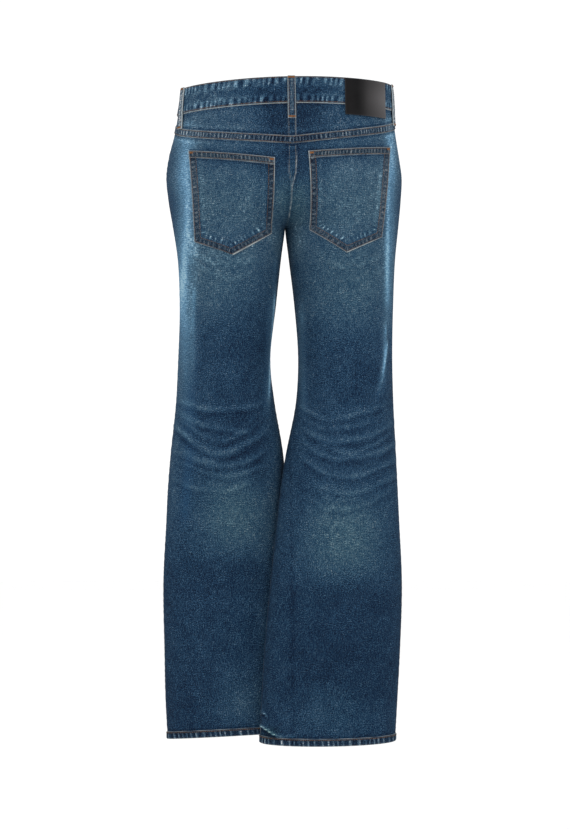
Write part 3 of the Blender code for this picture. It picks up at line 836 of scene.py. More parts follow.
class Finish:
    """A material that is being built round its Principled shader."""

    def __init__(self, name):
        self.material = bpy.data.materials.new(name)
        self.material.use_nodes = True
        self.tree = self.material.node_tree
        self.shader = self.tree.nodes["Principled BSDF"]

    def node(self, kind, settings, sockets, out=0):
        return add_node(self.tree, kind, settings, sockets, out)

    def mark(self, name):
        return self.node("ShaderNodeAttribute", {"attribute_name": name}, {}, "Fac")

    def blend(self, share, first, second, how="MIX"):
        """Mixes two colours."""
        return self.node("ShaderNodeMix", {"data_type": "RGBA", "blend_type": how},
                         {0: share, 6: first, 7: second}, 2)

    def noise(self, place, stretch, detail=2.0):
        """Noise whose grains are as many to the metre as stretch says."""
        scaled = self.node("ShaderNodeVectorMath", {"operation": "MULTIPLY"}, {0: place, 1: stretch})
        return self.node("ShaderNodeTexNoise", {}, {"Vector": scaled, "Scale": 1.0, "Detail": detail})

    def bump(self, strength, distance, height):
        """The direction of a face that carries a fine relief."""
        relief_of = {"Strength": strength, "Distance": distance, "Height": height}
        return self.node("ShaderNodeBump", {}, relief_of)

    def set(self, **values):
        """Sets the shader's sockets, to numbers or to wires."""
        for name, value in values.items():
            socket = self.shader.inputs[name.replace("_", " ")]
            if isinstance(value, Wire):
                self.tree.links.new(value.socket, socket)
            else:
                socket.default_value = value


print("shader class ready:", Wire.__name__)

# %% [markdown]
# ## Denim
# Denim is a twill: dark indigo warp runs lengthwise over white weft, one row shifted
# from the next, which leaves fine diagonal ribs. The yarns are uneven, so washed denim
# has long soft streaks down the leg, shorter ones across, and a salt-and-pepper grain.
# A ramp from unwashed indigo to bleached blue turns one number, the fade, into colour. That number also
# carries painted shadow lines along some edges, and painted light.
# The inner face shows the white weft, so it is paler.

# %% The denim finish
LIGHT = 1.42


def dye(red, green, blue):
    """The colour that shows as these numbers once the studio light falls on it."""
    return (*(share / LIGHT for share in srgb(red, green, blue)[:3]), 1.0)


INDIGO = (
    (0.00, dye(6, 24, 46)),
    (0.20, dye(16, 41, 65)),
    (0.35, dye(28, 57, 82)),
    (0.50, dye(43, 71, 94)),
    (0.65, dye(62, 88, 107)),
    (0.80, dye(92, 121, 141)),
    (0.90, dye(128, 158, 179)),
    (1.00, dye(186, 200, 206)),
)
WORN_WHITE = dye(186, 192, 190)
WEFT_BLUE = dye(122, 138, 152)
INNER_BLUE = dye(96, 112, 130)
RIBS_PER_METRE = 1150.0
# Pale weft shows through as grey, so a speck changes red the most and blue the least.
# Each row is a power, and a share that keeps the middle of the colour where it was.
Speck = namedtuple("Speck", "channel power share")
SPECKS = (Speck("Red", 3.4, 0.79), Speck("Green", 2.2, 0.92), Speck("Blue", 1.65, 0.975))


print("shades of indigo:", len(INDIGO))

# %% [markdown]
# ## Yarn, specks and stains
# The cloth is built up as the real one is. Uneven yarns and soft clouds shift the fade
# before the ramp turns it into a colour. Specks of bare weft then lighten or darken each
# point, stains and blue streaks tint it, and rubbed edges go white. Last comes the twill,
# whose ribs catch the light. Four cuts of one cloth differ in their blotches and specks.

# %% Yarn and specks
# Grains of noise to the metre, across the cloth and along it
WARP_GRAINS = (640.0, 100.0, 1.0)
WEFT_GRAINS = (125.0, 640.0, 1.0)
FINE_GRAINS = (1250.0, 1250.0, 1.0)
CLOUD_GRAINS = (48.0, 30.0, 1.0)
BLOTCH_GRAINS = (170.0, 110.0, 1.0)
LONG_SPECKS = (780.0, 660.0, 1.0)
WIDE_SPECKS = (640.0, 780.0, 1.0)

# What a green stain, a blue streak and rust from the thread multiply the colour by
GREEN_STAIN = (1.0, 1.04, 0.86, 1.0)
BLUE_STREAK = (0.82, 0.98, 1.08, 1.0)
RUST_STAIN = (1.75, 1.0, 0.74, 1.0)

# The twill's ribs lean along a right triangle with sides of 3, 4 and 5
LEAN_ACROSS = 0.8
LEAN_ALONG = 0.6

# Each cut's place on the bolt, how blotchy it is and how strong its specks are
Bolt = namedtuple("Bolt", "name place blotches coarse sharp specks")
BOLTS = {
    "legs": Bolt("denim_legs", 0.0, 0.12, 8.6, 7.0, LONG_SPECKS),
    "hips": Bolt("denim_hips", 3.1, 0.34, 9.6, 7.8, WIDE_SPECKS),
    "band": Bolt("denim_band", 5.2, 0.34, 8.2, 6.8, WIDE_SPECKS),
    "trim": Bolt("denim_trim", 7.7, 0.15, 8.6, 7.4, WIDE_SPECKS),
}


def faded_indigo(finish, place, warp, bolt):
    """The dyed yarn's colour: the fade, shifted by uneven yarns and soft clouds."""
    weft = finish.noise(place, WEFT_GRAINS)
    cloud = finish.noise(place, CLOUD_GRAINS, 3.0)
    blotch = finish.noise(place, BLOTCH_GRAINS, 2.0)
    fade = finish.mark("fade")
    threads = (warp - 0.5) * 0.66 + (weft - 0.5) * (fade * 1.1 + 0.16)
    soft = (cloud - 0.5) * 0.3 + (blotch - 0.5) * bolt.blotches
    calm = 1.0 - finish.mark("blue").limited() * 0.6
    tone = (fade + (threads + soft) * calm).limited()
    return finish.node("ShaderNodeValToRGB", {"stops": INDIGO}, {"Fac": tone})


def speckled(finish, place, grain, colour, bolt):
    """Salt and pepper, which is strongest where the cloth is still dark."""
    fine = finish.noise(place, FINE_GRAINS, 1.0)
    contrast = 1.78 - finish.mark("fade") * 1.55
    salt = ((grain - 0.5) * bolt.coarse + (fine - 0.5) * bolt.sharp) * contrast
    swing = finish.node("ShaderNodeMath", {"operation": "MAXIMUM"}, {0: 1.0 + salt * 0.31, 1: 0.05})
    channels = {row.channel: swing**row.power * row.share for row in SPECKS}
    specks = finish.node("ShaderNodeCombineColor", {}, channels)
    return finish.blend(1.0, colour, specks, "MULTIPLY")


def stained(finish, grain, colour):
    """Green stains, blue streaks and rust, and the white of rubbed edges over them."""
    dirty = finish.blend(finish.mark("green"), colour, GREEN_STAIN, "MULTIPLY")
    bright = finish.blend(finish.mark("blue").limited(), dirty, BLUE_STREAK, "MULTIPLY")
    rusty = finish.blend(finish.mark("warm").limited(), bright, RUST_STAIN, "MULTIPLY")
    rub = (finish.mark("rub") * (0.5 + grain)).limited()
    return finish.blend(rub, rusty, WORN_WHITE)


def twill(finish, place):
    """The diagonal ribs, and the threads that cross them."""
    across = finish.node("ShaderNodeSeparateXYZ", {}, {0: place}, "X")
    along = finish.node("ShaderNodeSeparateXYZ", {}, {0: place}, "Y")
    rib = (across * LEAN_ACROSS + along * LEAN_ALONG) * (2 * math.pi * RIBS_PER_METRE)
    thread = (across * LEAN_ALONG - along * LEAN_ACROSS) * (2 * math.pi * RIBS_PER_METRE * 0.8)
    return rib.wave(), thread.wave()


def make_denim(bolt):
    finish = Finish(bolt.name)
    flat = finish.node("ShaderNodeUVMap", {"uv_map": "cloth"}, {}, "UV")
    shift = (bolt.place, 0.37 * bolt.place, 0.0)
    place = finish.node("ShaderNodeVectorMath", {"operation": "ADD"}, {0: flat, 1: shift})
    warp = finish.noise(place, WARP_GRAINS)
    grain = finish.noise(place, bolt.specks, 1.0)
    dyed = speckled(finish, place, grain, faded_indigo(finish, place, warp, bolt), bolt)
    worn = stained(finish, grain, dyed)
    rib, thread = twill(finish, place)
    speck = ((1.0 - rib) * thread).above(0.35, 0.95) * (0.04 + finish.mark("fade") * 0.2)
    woven = finish.blend(speck, worn, WEFT_BLUE)
    base = finish.blend(finish.mark("inner") * 0.8, woven, INNER_BLUE)
    bump = finish.bump(0.5, 0.0003, rib * 0.45 + thread * 0.15 + warp * 0.7 + grain * 0.7)
    finish.set(Base_Color=base, Roughness=0.82 + grain * 0.2, Normal=bump, Specular_IOR_Level=0.06)
    return finish.material


denim = {cut: make_denim(bolt) for cut, bolt in BOLTS.items()}
print("denim finishes:", len(denim))

# %% [markdown]
# ## Legs
# A maker cuts four long panels: two fronts and two backs. The back panels meet in the
# seat seam, which is felled: the edges are folded into each other and sewn down twice,
# so a thicker band runs down the middle of the seat and narrows towards the crotch.

# %% Panels
PANEL_COLUMNS = 84
RISE_ROWS = 64
LEG_ROWS = 280
LEG_ROW_GROWTH = 1.06
RISE_SAMPLES = 400
SEAM_PITCH = 11.0
SEAM_REACH = 6.0
# How far a panel runs on below the upper edge of its hem
HEM_OVERLAP = 1.5


def walked_along(points):
    """How far each point lies from the first, along the line through them."""
    steps = np.linalg.norm(np.diff(points, axis=0), axis=1)
    return np.concatenate(([0.0], np.cumsum(steps)))


def close_ends(count, ease=0.5):
    """Shares from 0 to 1 that lie closer together at both ends."""
    even = np.linspace(0.0, 1.0, count + 1)
    return even - ease * np.sin(2 * math.pi * even) / (2 * math.pi)


def rise_heights(side, sign, top):
    """Heights down the rise from a top edge to the crotch, evenly spaced along it."""
    heights = np.linspace(top, CROTCH, RISE_SAMPLES)
    walked = walked_along(bare_point(side, sign * inner_turn(side, heights), heights))
    return np.interp(np.linspace(0.0, walked[-1], RISE_ROWS + 1), walked, heights)


def panel_grid(side, sign, top_line):
    """Turns and heights of a panel from its top edge to its hem seam."""
    columns = close_ends(PANEL_COLUMNS)
    edge = top_line(ring_angle(side, sign * 90.0 * columns)) - JOIN / 2
    turns = []
    heights = []
    for row, inner in enumerate(rise_heights(side, sign, float(edge[-1]))):
        share = row / RISE_ROWS
        outer = edge[0] + (SIDE_AT_CROTCH - edge[0]) * share
        straight = outer + (inner - outer) * columns
        bend = (edge - (edge[0] + (edge[-1] - edge[0]) * columns)) * (1.0 - share)**2
        turns.append(sign * columns * inner_turn(side, inner))
        heights.append(straight + bend)
    last = heights[-1]
    turns_down = sign * columns * 180.0
    hem_seam = hem_line(side, turns_down) + HEM_HEIGHT - HEM_OVERLAP
    for row in range(1, LEG_ROWS + 1):
        turns.append(turns_down)
        heights.append(last + (hem_seam - last) * (row / LEG_ROWS)**LEG_ROW_GROWTH)
    turns = np.array(turns)
    heights = np.array(heights)
    seam_turn = np.degrees(JOIN / 2 / section(side, heights)[1])
    ends = inner_turn(side, heights)
    ends = np.where(ends == 180.0, 180.0 - seam_turn, ends)
    return sign * np.clip(np.abs(turns), seam_turn, ends), heights


print("rows down the left back rise:", len(rise_heights(LEFT, BACK, -105.0)))

# %% [markdown]
# ## Seams that show on the panels
# A seam leaves its mark on the cloth beside it. The felled seat seam is a raised band
# of half a width on each side, the side and inner seams pucker and rub, and a painted
# shadow darkens the gap above the mouth of a pocket. Each is a function of the place on
# the panel.

# %% Seams on the panels
SEAT_BAND = 6.2
SEAT_BAND_FOOT = 1.6
SEAT_TAPER = (-162.0, -142.0)
# The seam folds over towards the right, so its right edge rubs the most
SEAT_RUB = {LEFT: 0.45, RIGHT: 1.5}

Pocket = namedtuple("Pocket", "mouth_inner mouth_outer foot_outer tip foot_inner")

# Corners as distance from the middle and height
POCKETS = {
    LEFT: Pocket((27, -121), (154.5, -107), (145.5, -248), (91, -269), (29.5, -234)),
    RIGHT: Pocket((24.5, -110.5), (158, -98), (143, -239), (87.5, -264), (33.5, -228.5)),
}


def seat_half(height):
    """Half the width of the felled seat seam, which narrows towards the crotch."""
    return np.interp(height, SEAT_TAPER, (SEAT_BAND_FOOT, SEAT_BAND))


def seat_band(side, turn, height):
    """Share of the felled seat seam's thickness, and the distance in from its edge."""
    inside = seat_half(height) - side * bare_point(side, turn, height)[..., 0]
    above = smooth_step((height - (CROTCH + 4.0)) / 14.0)
    return smooth_step(inside + 0.5) * above, inside


def seam_marks(side, turns, heights, fade):
    """Darkens and rubs the cloth beside a panel's side seam and inner seam."""
    points = bare_point(side, turns, heights)
    walked = np.abs(walk_across(points))
    from_side = np.abs(walked - walked[:, :1])
    middle = walked.shape[1] // 2
    from_side[:, middle:] = (walked + walked[:, :1])[:, middle:]
    from_inner = (walked[:, -1:] + walked[:, :1]) - from_side
    ripple = pucker(heights, SEAM_PITCH, side * 2.1)
    by_side = near(from_side, 0.0, SEAM_REACH)
    by_inner = near(from_inner, 0.0, SEAM_REACH)
    fade = fade + 0.07 * ripple * (by_side + by_inner) - 0.03 * by_inner
    below_seat = smooth_step((-148.0 - heights) / 10.0)
    folds = rubbed(from_side, 0.9) + below_seat * rubbed(from_inner, 0.9)
    rub = 0.30 * patchy(heights, 1.3 * side) * folds
    return fade, rub, 0.25 * ripple * (by_side + by_inner)


def mouth_shadow(side, turns, heights):
    """A painted shadow in the gap just above the mouth of a back pocket."""
    (inner, inner_height), (outer, outer_height), *_ = POCKETS[side]
    distance = side * bare_point(side, turns, heights)[..., 0]
    line = np.interp(distance, (inner, outer), (inner_height, outer_height))
    over = (distance > inner - 1.0) & (distance < outer + 1.0)
    return near(heights, line + 1.0, 1.9) * over


print("seat seam:", 2 * seat_half(-100.0), "mm wide, and", 2 * seat_half(CROTCH), "mm at the crotch")

# %% [markdown]
# ## Four panels
# With the surface, the wear and the seams at hand, a panel is short to write. The back
# adds what the yoke, the pocket and the seat seam do to it, and the front its scoop.


# %% Four panels
def back_marks(side, turns, heights, fade, rub):
    """What the yoke seam, the pocket's mouth and the seat seam do to a back panel."""
    below_yoke = yoke_seam(ring_angle(side, turns)) - heights
    # A pale line 6 mm below the yoke seam, a painted shadow line just under the yoke's edge, and next a
    # painted shadow in the pocket's mouth
    yoke_shade = 0.10 * near(below_yoke, 6.0, 4.5) - 0.16 * near(below_yoke, 1.5, 1.8)
    fade = fade + yoke_shade * (np.abs(turns) < 90.5) - 0.22 * mouth_shadow(side, turns, heights)
    band, inside = seat_band(side, turns, heights)
    puckered = pucker(heights, 8.0, 0.6)
    fade = fade + band * (0.05 + 0.15 * puckered) - 0.10 * (1 - band) * near(inside, -3.0, 3.0)
    rub = rub + band * rubbed(inside, 0.7) * (0.4 + 0.3 * puckered) * SEAT_RUB[side]
    return fade, rub, band


def front_marks(side, turns, heights, fade, rub):
    """The puckered and rubbed edge of a front pocket's scoop."""
    edge = mouth_line(ring_angle(side, turns)) - heights
    scooped = np.abs(turns) < MOUTH_TURN + 1.0
    rub = rub + 0.6 * rubbed(edge, 1.3) * scooped
    fade = fade + 0.10 * pucker(turns * 3.0, 8.0, 0.4) * near(edge, 0.0, 9.0) * scooped
    return fade, rub, 0.0


def make_panel(side, sign, name, top_line, material):
    turns, heights = panel_grid(side, sign, top_line)
    marks = wear_light_and_shade(side, turns, heights)
    fade, rub, ripple = seam_marks(side, turns, heights, marks["fade"])
    above_hem = heights - hem_line(side, turns) - HEM_HEIGHT
    # A painted shadow line on the panel just above the hem's upper edge
    fade = fade - 0.14 * near(above_hem, 1.5, 2.0)
    face_marks = back_marks if sign == BACK else front_marks
    fade, rub, band = face_marks(side, turns, heights, fade, rub)
    marks.update(fade=fade, rub=rub)
    places = (side, turns, heights)
    outer = DENIM + FELLED * band + ripple
    return cloth_shell(name, places, outer, 0.0, material, marks, offset=side * 2.0 + sign * 0.9)


panels = {}
for side, word in SIDES:
    panels[word, BACK] = make_panel(side, BACK, f"cloth_back_{word}", yoke_seam, denim["legs"])
    panels[word, FRONT] = make_panel(side, FRONT, f"cloth_front_{word}", mouth_line, denim["legs"])
    hang(panels[word, BACK], "denim", f"back_{word}")
    hang(panels[word, FRONT], "denim", f"front_{word}")
print("panels:", len(panels), "with", sum(len(p.data.polygons) for p in panels.values()), "faces")

# %% [markdown]
# ## Yoke
# The yoke is the shaped strip between the waistband and the back panels. It does the
# work of darts, taking in the hollow of the back. Its lower seam is felled as well, so
# it carries a raised band with two rows of stitches, puckered between them.

# %% Yokes
YOKE_COLUMNS = 260
YOKE_ROWS = 26
# How far the yoke runs up under the waistband, and the puckers between its two rows
YOKE_UNDER_BAND = 1.0
YOKE_PITCH = 5.9
YOKE_RIPPLE_PITCH = 5.7
BAND_STEPS = YOKE_BAND + 0.6 - edge_rows(YOKE_BAND + 0.6, 1.0)


def make_yoke(side, name, material):
    turns = 90.0 * close_ends(YOKE_COLUMNS, 0.6)
    rings = ring_angle(side, turns)
    top = waist_seam(rings) + YOKE_UNDER_BAND
    bottom = yoke_seam(rings) + JOIN / 2
    upper = bottom + BAND_STEPS[0]
    shares = np.linspace(0.0, 1.0, YOKE_ROWS, endpoint=False)[:, None]
    heights = np.concatenate((top + (upper - top) * shares, bottom + BAND_STEPS[:, None]))
    turns = np.broadcast_to(turns, heights.shape)
    turns = np.maximum(turns, np.degrees(JOIN / 2 / section(side, heights)[1]))
    above_edge = heights - bottom
    felled = smooth_step((YOKE_BAND + 0.4 - above_edge) / 0.8)
    middle_band, from_fold = seat_band(side, turns, heights)
    run = walk_across(bare_point(side, turns, heights))
    ripple = pucker(run + 0.15 * above_edge, YOKE_RIPPLE_PITCH, 1.1 + side)
    dash = dashes(run, YOKE_PITCH, 1.1 + side) * (0.55 + 0.6 * patchy(run * 2.3, 0.9 + side))
    marks = wear_light_and_shade(side, turns, heights)
    above_band = above_edge - YOKE_BAND
    middle_of_band = near(above_edge, YOKE_BAND / 2, 3.4, 4)
    # Painted shadow lines: one just above the yoke's felled band, and one at the top of the yoke under the
    # waistband's lower edge
    fade = marks["fade"] - 0.20 * near(above_band, 2.2, 1.8) - 0.16 * near(top - heights, 1.0, 5.0)
    fade = fade + felled * (0.52 * dash * middle_of_band - 0.03)
    fade = fade + (1 - felled) * 0.08 * middle_band * pucker(heights, 7.0, 0.2)
    fade = fade + (1 - felled) * 0.09 * near(above_band, 7.0, 4.0)
    rub = felled * (rubbed(YOKE_BAND - above_edge, 0.7) * (0.45 + 0.4 * patchy(run, 0.3))
                    + rubbed(above_edge, 0.6) * (0.25 + 0.45 * patchy(run, 1.2)))
    rub = rub + (1 - felled) * middle_band * rubbed(from_fold, 0.6) * 0.4 * SEAT_RUB[side]
    rub = rub + 0.15 * felled * np.clip(dash, 0.0, 1.0) * middle_of_band
    marks["warm"] = 0.45 * felled
    lift = DENIM + FELLED * np.maximum(felled, middle_band) + 0.35 * ripple * felled
    lift = lift - rolled(above_edge, DENIM + FELLED)
    marks.update(fade=fade, rub=rub)
    return cloth_shell(name, (side, turns, heights), lift, 0.0, material, marks, offset=side * 1.3)


for side, word in SIDES:
    hang(make_yoke(side, f"cloth_yoke_{word}", denim["hips"]), "denim", f"yoke_{word}")

# %% [markdown]
# ## Waistband
# One straight strip, folded double, goes once round the waist and laps over itself at
# the front. Both of its long edges are puckered, and its lower fold is rubbed white.

# %% Waistband
LAP_OVER = 4.0
LAP_UNDER = 40.0
LAP_STEP = 18.0
LAP_GAP = 0.3
BAND_STEP_DEGREES = 0.62
FRONT_STEP = float(ring_step(-90.0, 1.0))
# The puckers of the upper and the lower edge
BAND_TOP_PITCH = 10.2
BAND_LOW_PITCH = 9.4
# Folds paler than this are held back, so that the band keeps its blue
BAND_LIMIT = 0.72


def band_ends():
    return -90.0 - LAP_OVER * FRONT_STEP, 270.0 + LAP_UNDER * FRONT_STEP


def band_sink(rings):
    """How far the underlapping end lies below the end over it."""
    lap = (270.0 - (LAP_OVER + LAP_STEP) * FRONT_STEP, 270.0 - (LAP_OVER + 2.0) * FRONT_STEP)
    return np.interp(rings, lap, (0.0, WAISTBAND_WALL + LAP_GAP))


def band_marks(run, down, up, marks):
    """Adds the puckers, arches and rubbed edges of the band, and gives its ripple."""
    upper = near(down, 7.5, 6.5, 4) * teeth(run + 0.2 * down, BAND_TOP_PITCH, 0.7)
    lower = near(up, 6.5, 5.5, 4) * teeth(run - 0.15 * up, BAND_LOW_PITCH, 2.9)
    arch = near(up, 12.2 + 1.4 * np.sin(run * 0.043), 1.5) * (0.5 + patchy(run, 0.7))
    high_arch = near(down, 14.0 + 3.0 * np.sin(run * 0.031 + 2.0), 1.7) * patchy(run, 2.7)
    slow = 0.09 * pucker(run + 1.3 * down, 37.0, 1.9) + 0.08 * pucker(run - 2.2 * down, 23.0, 0.4)
    fade = marks["fade"] - 0.05 + slow + 0.15 * arch + 0.14 * high_arch
    fade = fade + 0.36 * upper + 0.42 * lower - 0.07 * near(down, 21.0, 6.0) - 0.12 * near(up, 2.2, 1.2)
    rub = rubbed(down, 0.7) * (0.3 + 0.3 * patchy(run, 0.9))
    rub = rub + rubbed(up, 0.75) * (0.65 + 0.3 * patchy(run, 2.2))
    warm = 0.6 * near(up, 2.2, 1.6) + 0.6 * near(down, 1.6, 1.4)
    marks.update(fade=held_below(fade, BAND_LIMIT), rub=rub, warm=warm)
    return 0.4 * (upper + lower)


def make_waistband(material):
    start, end = band_ends()
    rings = np.linspace(start, end, round((end - start) / BAND_STEP_DEGREES))
    down = edge_rows(WAISTBAND_HEIGHT, 1.8)[:, None]
    heights = waist_top(rings) - down
    up = WAISTBAND_HEIGHT - down
    sink = band_sink(rings)
    run = walk_across(ring_point(rings[None, :], heights, 0.0))
    side, turn = side_and_turn(rings[None, :])
    side, turn, heights = np.broadcast_arrays(side, turn, heights)
    marks = wear_light_and_shade(side, turn, heights)
    ripple = band_marks(run, down, up, marks)
    roll = rolled(down, WAISTBAND_WALL, 1.4) + rolled(up, WAISTBAND_WALL, 1.4)
    outside = ring_point(rings[None, :], heights, WAISTBAND_WALL - sink + ripple - roll)
    inside = ring_point(rings[None, :], heights, -sink + roll * 0.6)
    return shell("cloth_waistband", outside, inside, material, marks, offset=4.0)


waistband = hang(make_waistband(denim["band"]), "denim", "waistband")
print("waistband faces:", len(waistband.data.polygons))

# %% [markdown]
# ## Hems
# The foot of each leg is turned up twice and sewn with one row near its upper edge.
# Washing twists that fold into slanted ropes of light and dark, the mark of a chain
# stitched hem, and the fold at the very bottom rubs pale.

# %% Hems
HEM_COLUMNS = 480
ROPE_PITCH = 9.2
ROPE_TWIST = 0.15


def make_hem(side, name, material):
    turns = np.linspace(-180.0, 180.0, HEM_COLUMNS, endpoint=False)
    up = edge_rows(HEM_HEIGHT, 1.2)[::-1][:, None]
    heights = hem_line(side, turns) + up
    down = HEM_HEIGHT - up
    turns = np.broadcast_to(turns, heights.shape)
    run = walk_across(bare_point(side, turns, heights))
    rope = dashes(run + side * ROPE_TWIST * up, ROPE_PITCH, 0.5 + side)
    rope = rope + 0.3 * pucker(run - side * 0.1 * up, 4.7, 1.4)
    body = near(up, 4.6, 5.0, 4)
    marks = wear_light_and_shade(side, turns, heights)
    fade = marks["fade"] + 0.05 + 0.52 * rope * body - 0.16 * near(down, 2.0, 1.2)
    rub = rubbed(down, 0.6) * (0.1 + 0.55 * patchy(run, 0.6))
    rub = rub + rubbed(up, 1.1) * (0.2 + 0.6 * np.clip(rope, 0.0, 1.0))
    rub = rub + 0.08 * body * np.clip(rope - 0.25, 0.0, 1.0)
    marks["warm"] = 0.7 * near(down, 2.2, 2.0) + 0.25 * body
    roll = rolled(down, HEM_WALL, 0.9) + rolled(up, HEM_WALL, 1.5)
    outer = HEM_WALL + 0.55 * rope * body - roll
    inner = 0.25 * rope * body + roll * 0.6
    marks.update(fade=fade, rub=rub)
    places = (side, turns, heights)
    return cloth_shell(name, places, outer, inner, material, marks, offset=side * 6.0, is_ring=True)


for side, word in SIDES:
    hang(make_hem(side, f"cloth_hem_{word}", denim["trim"]), "denim", f"hem_{word}")

# %% [markdown]
# ## Back pockets
# Each pocket is a five-sided patch. Its mouth is hemmed first, then its other edges
# are pressed under and sewn on with two rows. The turned allowance makes that border
# thick, so the border stays dark between the rows, its fold rubs white, and a pale
# line shows where the allowance ends. The middle of the pocket is the palest part.

# %% Back pockets
POCKET_HEM = 11.0
POCKET_BORDER = 10.5
POCKET_WIDTH = 130.0
POCKET_DEPTH = 145.0
# Each edge's wear starts at its own place on the uneven waves
EDGE_SHIFT = 150.0


def line_distance(distance, height, start, end):
    """How far points lie inside the line from one corner to the next."""
    along = unit(np.subtract(end, start))
    return along[1] * (distance - start[0]) - along[0] * (height - start[1])


def pocket_edges(side, distance, height):
    """Distances in from the mouth and from the nearest sewn edge, and the way along it."""
    cut = POCKETS[side]
    mouth = line_distance(distance, height, cut.mouth_outer, cut.mouth_inner)
    away = []
    along = []
    for start, end in zip(cut[1:], cut[2:] + cut[:1]):
        toward = unit(np.subtract(end, start))
        away.append(np.abs(line_distance(distance, height, start, end)))
        along.append(toward[0] * (distance - start[0]) + toward[1] * (height - start[1]))
    nearest = np.argmin(np.stack(away), axis=0)[None]
    run = np.take_along_axis(np.stack(along), nearest, axis=0)[0]
    return np.abs(mouth), np.min(np.stack(away), axis=0), run + EDGE_SHIFT * nearest[0]


def pocket_grid(cut):
    """Distances from the middle and heights, in rows along the hem and then to the foot."""
    body_depth = POCKET_DEPTH - POCKET_HEM
    depth = np.concatenate((edge_rows(POCKET_HEM, 1.4), POCKET_HEM + edge_rows(body_depth, 1.6)[1:]))[:, None]
    share = np.clip((depth - POCKET_HEM) / body_depth, 0.0, 1.0)

    def drop(length):
        return np.minimum(depth, POCKET_HEM) + (length - POCKET_HEM) * share

    def down_side(mouth, foot):
        length = mouth[1] - foot[1]
        return mouth[0] + (foot[0] - mouth[0]) * drop(length) / length

    across = edge_rows(POCKET_WIDTH, 1.05)[None, :] / POCKET_WIDTH
    inner = down_side(cut.mouth_inner, cut.foot_inner)
    outer = down_side(cut.mouth_outer, cut.foot_outer)
    top = cut.mouth_inner[1] + (cut.mouth_outer[1] - cut.mouth_inner[1]) * across
    bottom = np.interp(across, (0.0, 0.5, 1.0), (cut.foot_inner[1], cut.tip[1], cut.foot_outer[1]))
    return inner + (outer - inner) * across, top - drop(top - bottom)


print("rows and columns of a pocket:", pocket_grid(POCKETS[LEFT])[0].shape)

# %% [markdown]
# ## How a pocket wears
# The hem and the border are dark, with short pale dashes where they pucker between
# their rows. The middle is pale, and shades off towards the foot and the inner side. A
# pocket's foot is double where the allowance ends, so a row of dashes shows there too.

# %% Wear of the pockets
POCKET_PALE = {LEFT: 0.55, RIGHT: 0.59}
# The puckers of the hem and of the border, and what the dark hem keeps of its dye
POCKET_HEM_PITCH = 5.4
POCKET_BORDER_PITCH = 7.4
POCKET_HEM_FADE = 0.33
# How much thicker the folded hem and border are, and how far the middle bulges
HEM_FOLD = 0.9
BORDER_FOLD = 0.55
POCKET_BULGE = 0.7


def pocket_fade(side, distance, height, mouth, sewn, below_hem, border_dash):
    """How pale the single cloth of a pocket is, inside its hem and border."""
    cut = POCKETS[side]
    by_foot = smooth_step((-height - 205.0) / 20.0)
    fade = POCKET_PALE[side] - 0.12 * near(sewn, 0.0, 22.0) - 0.16 * near(mouth, POCKET_HEM, 16.0)
    fade = fade - 0.12 * near(height, cut.tip[1], 26.0) - 0.18 * near(mouth, POCKET_HEM + 1.8, 1.6)
    allowance_end = below_hem * near(sewn, POCKET_BORDER + 4.2, 3.4)
    fade = fade + allowance_end * (0.10 + 0.50 * by_foot * border_dash)
    outer_side = 0.08 * smooth_step((distance - 112.0) / 26.0)
    inner_side = 0.15 * smooth_step((64.0 - distance) / 30.0)
    old_fold = 0.13 * below_hem * near(distance, cut.mouth_inner[0] + 19.0, 2.0) * patchy(height, 0.8)
    return fade + (outer_side - inner_side + old_fold) * (1 - by_foot)


def pocket_marks(side, distance, height, mouth, sewn, run):
    """Marks of a pocket, the shares of its hem and border, and their ripple."""
    hem = smooth_step((POCKET_HEM + 0.4 - mouth) / 0.8)
    border = smooth_step((POCKET_BORDER - sewn) / 1.2) * (1.0 - hem)
    hem_dash = dashes(distance + 0.12 * mouth, POCKET_HEM_PITCH, 0.9 * side)
    hem_dash = hem_dash * (0.5 + 0.7 * patchy(distance * 2.7, side))
    border_dash = dashes(run + 0.1 * sewn, POCKET_BORDER_PITCH, 1.7 * side)
    border_dash = border_dash * (0.45 + 0.8 * patchy(run * 2.1, 1.4 + side))
    between_rows = near(mouth, 5.6, 3.2, 4)
    fade = pocket_fade(side, distance, height, mouth, sewn, 1 - hem, border_dash)
    fade = fade + border * (0.22 * border_dash * near(sewn, 5.0, 3.0, 4) - 0.05)
    fade = fade + hem * (POCKET_HEM_FADE + 0.27 * hem_dash * between_rows - fade)
    rub = rubbed(sewn, 0.8) * (0.62 + 0.35 * patchy(run, 0.4))
    rub = rub + rubbed(mouth, 0.8) * (0.5 + 0.3 * patchy(run, 3.0))
    rub = rub + (0.12 + 0.26 * patchy(distance, 2.0)) * near(mouth, POCKET_HEM - 0.2, 0.6)
    rub = rub + 0.24 * hem * between_rows * np.clip(hem_dash, 0.0, 1.0)
    rub = rub + 0.16 * border * np.clip(border_dash, 0.0, 1.0) * near(sewn, 5.0, 2.2, 4)
    green = 0.3 * near(height, -190.0, 60.0) * (1 - border)
    warm = (0.8 * hem + 0.7 * border) * (1.0 - 0.7 * rubbed(np.minimum(sewn, mouth), 1.6))
    marks = {"fade": fade, "green": green, "warm": warm, "rub": rub}
    return marks, hem, border, hem_dash * hem + border_dash * border


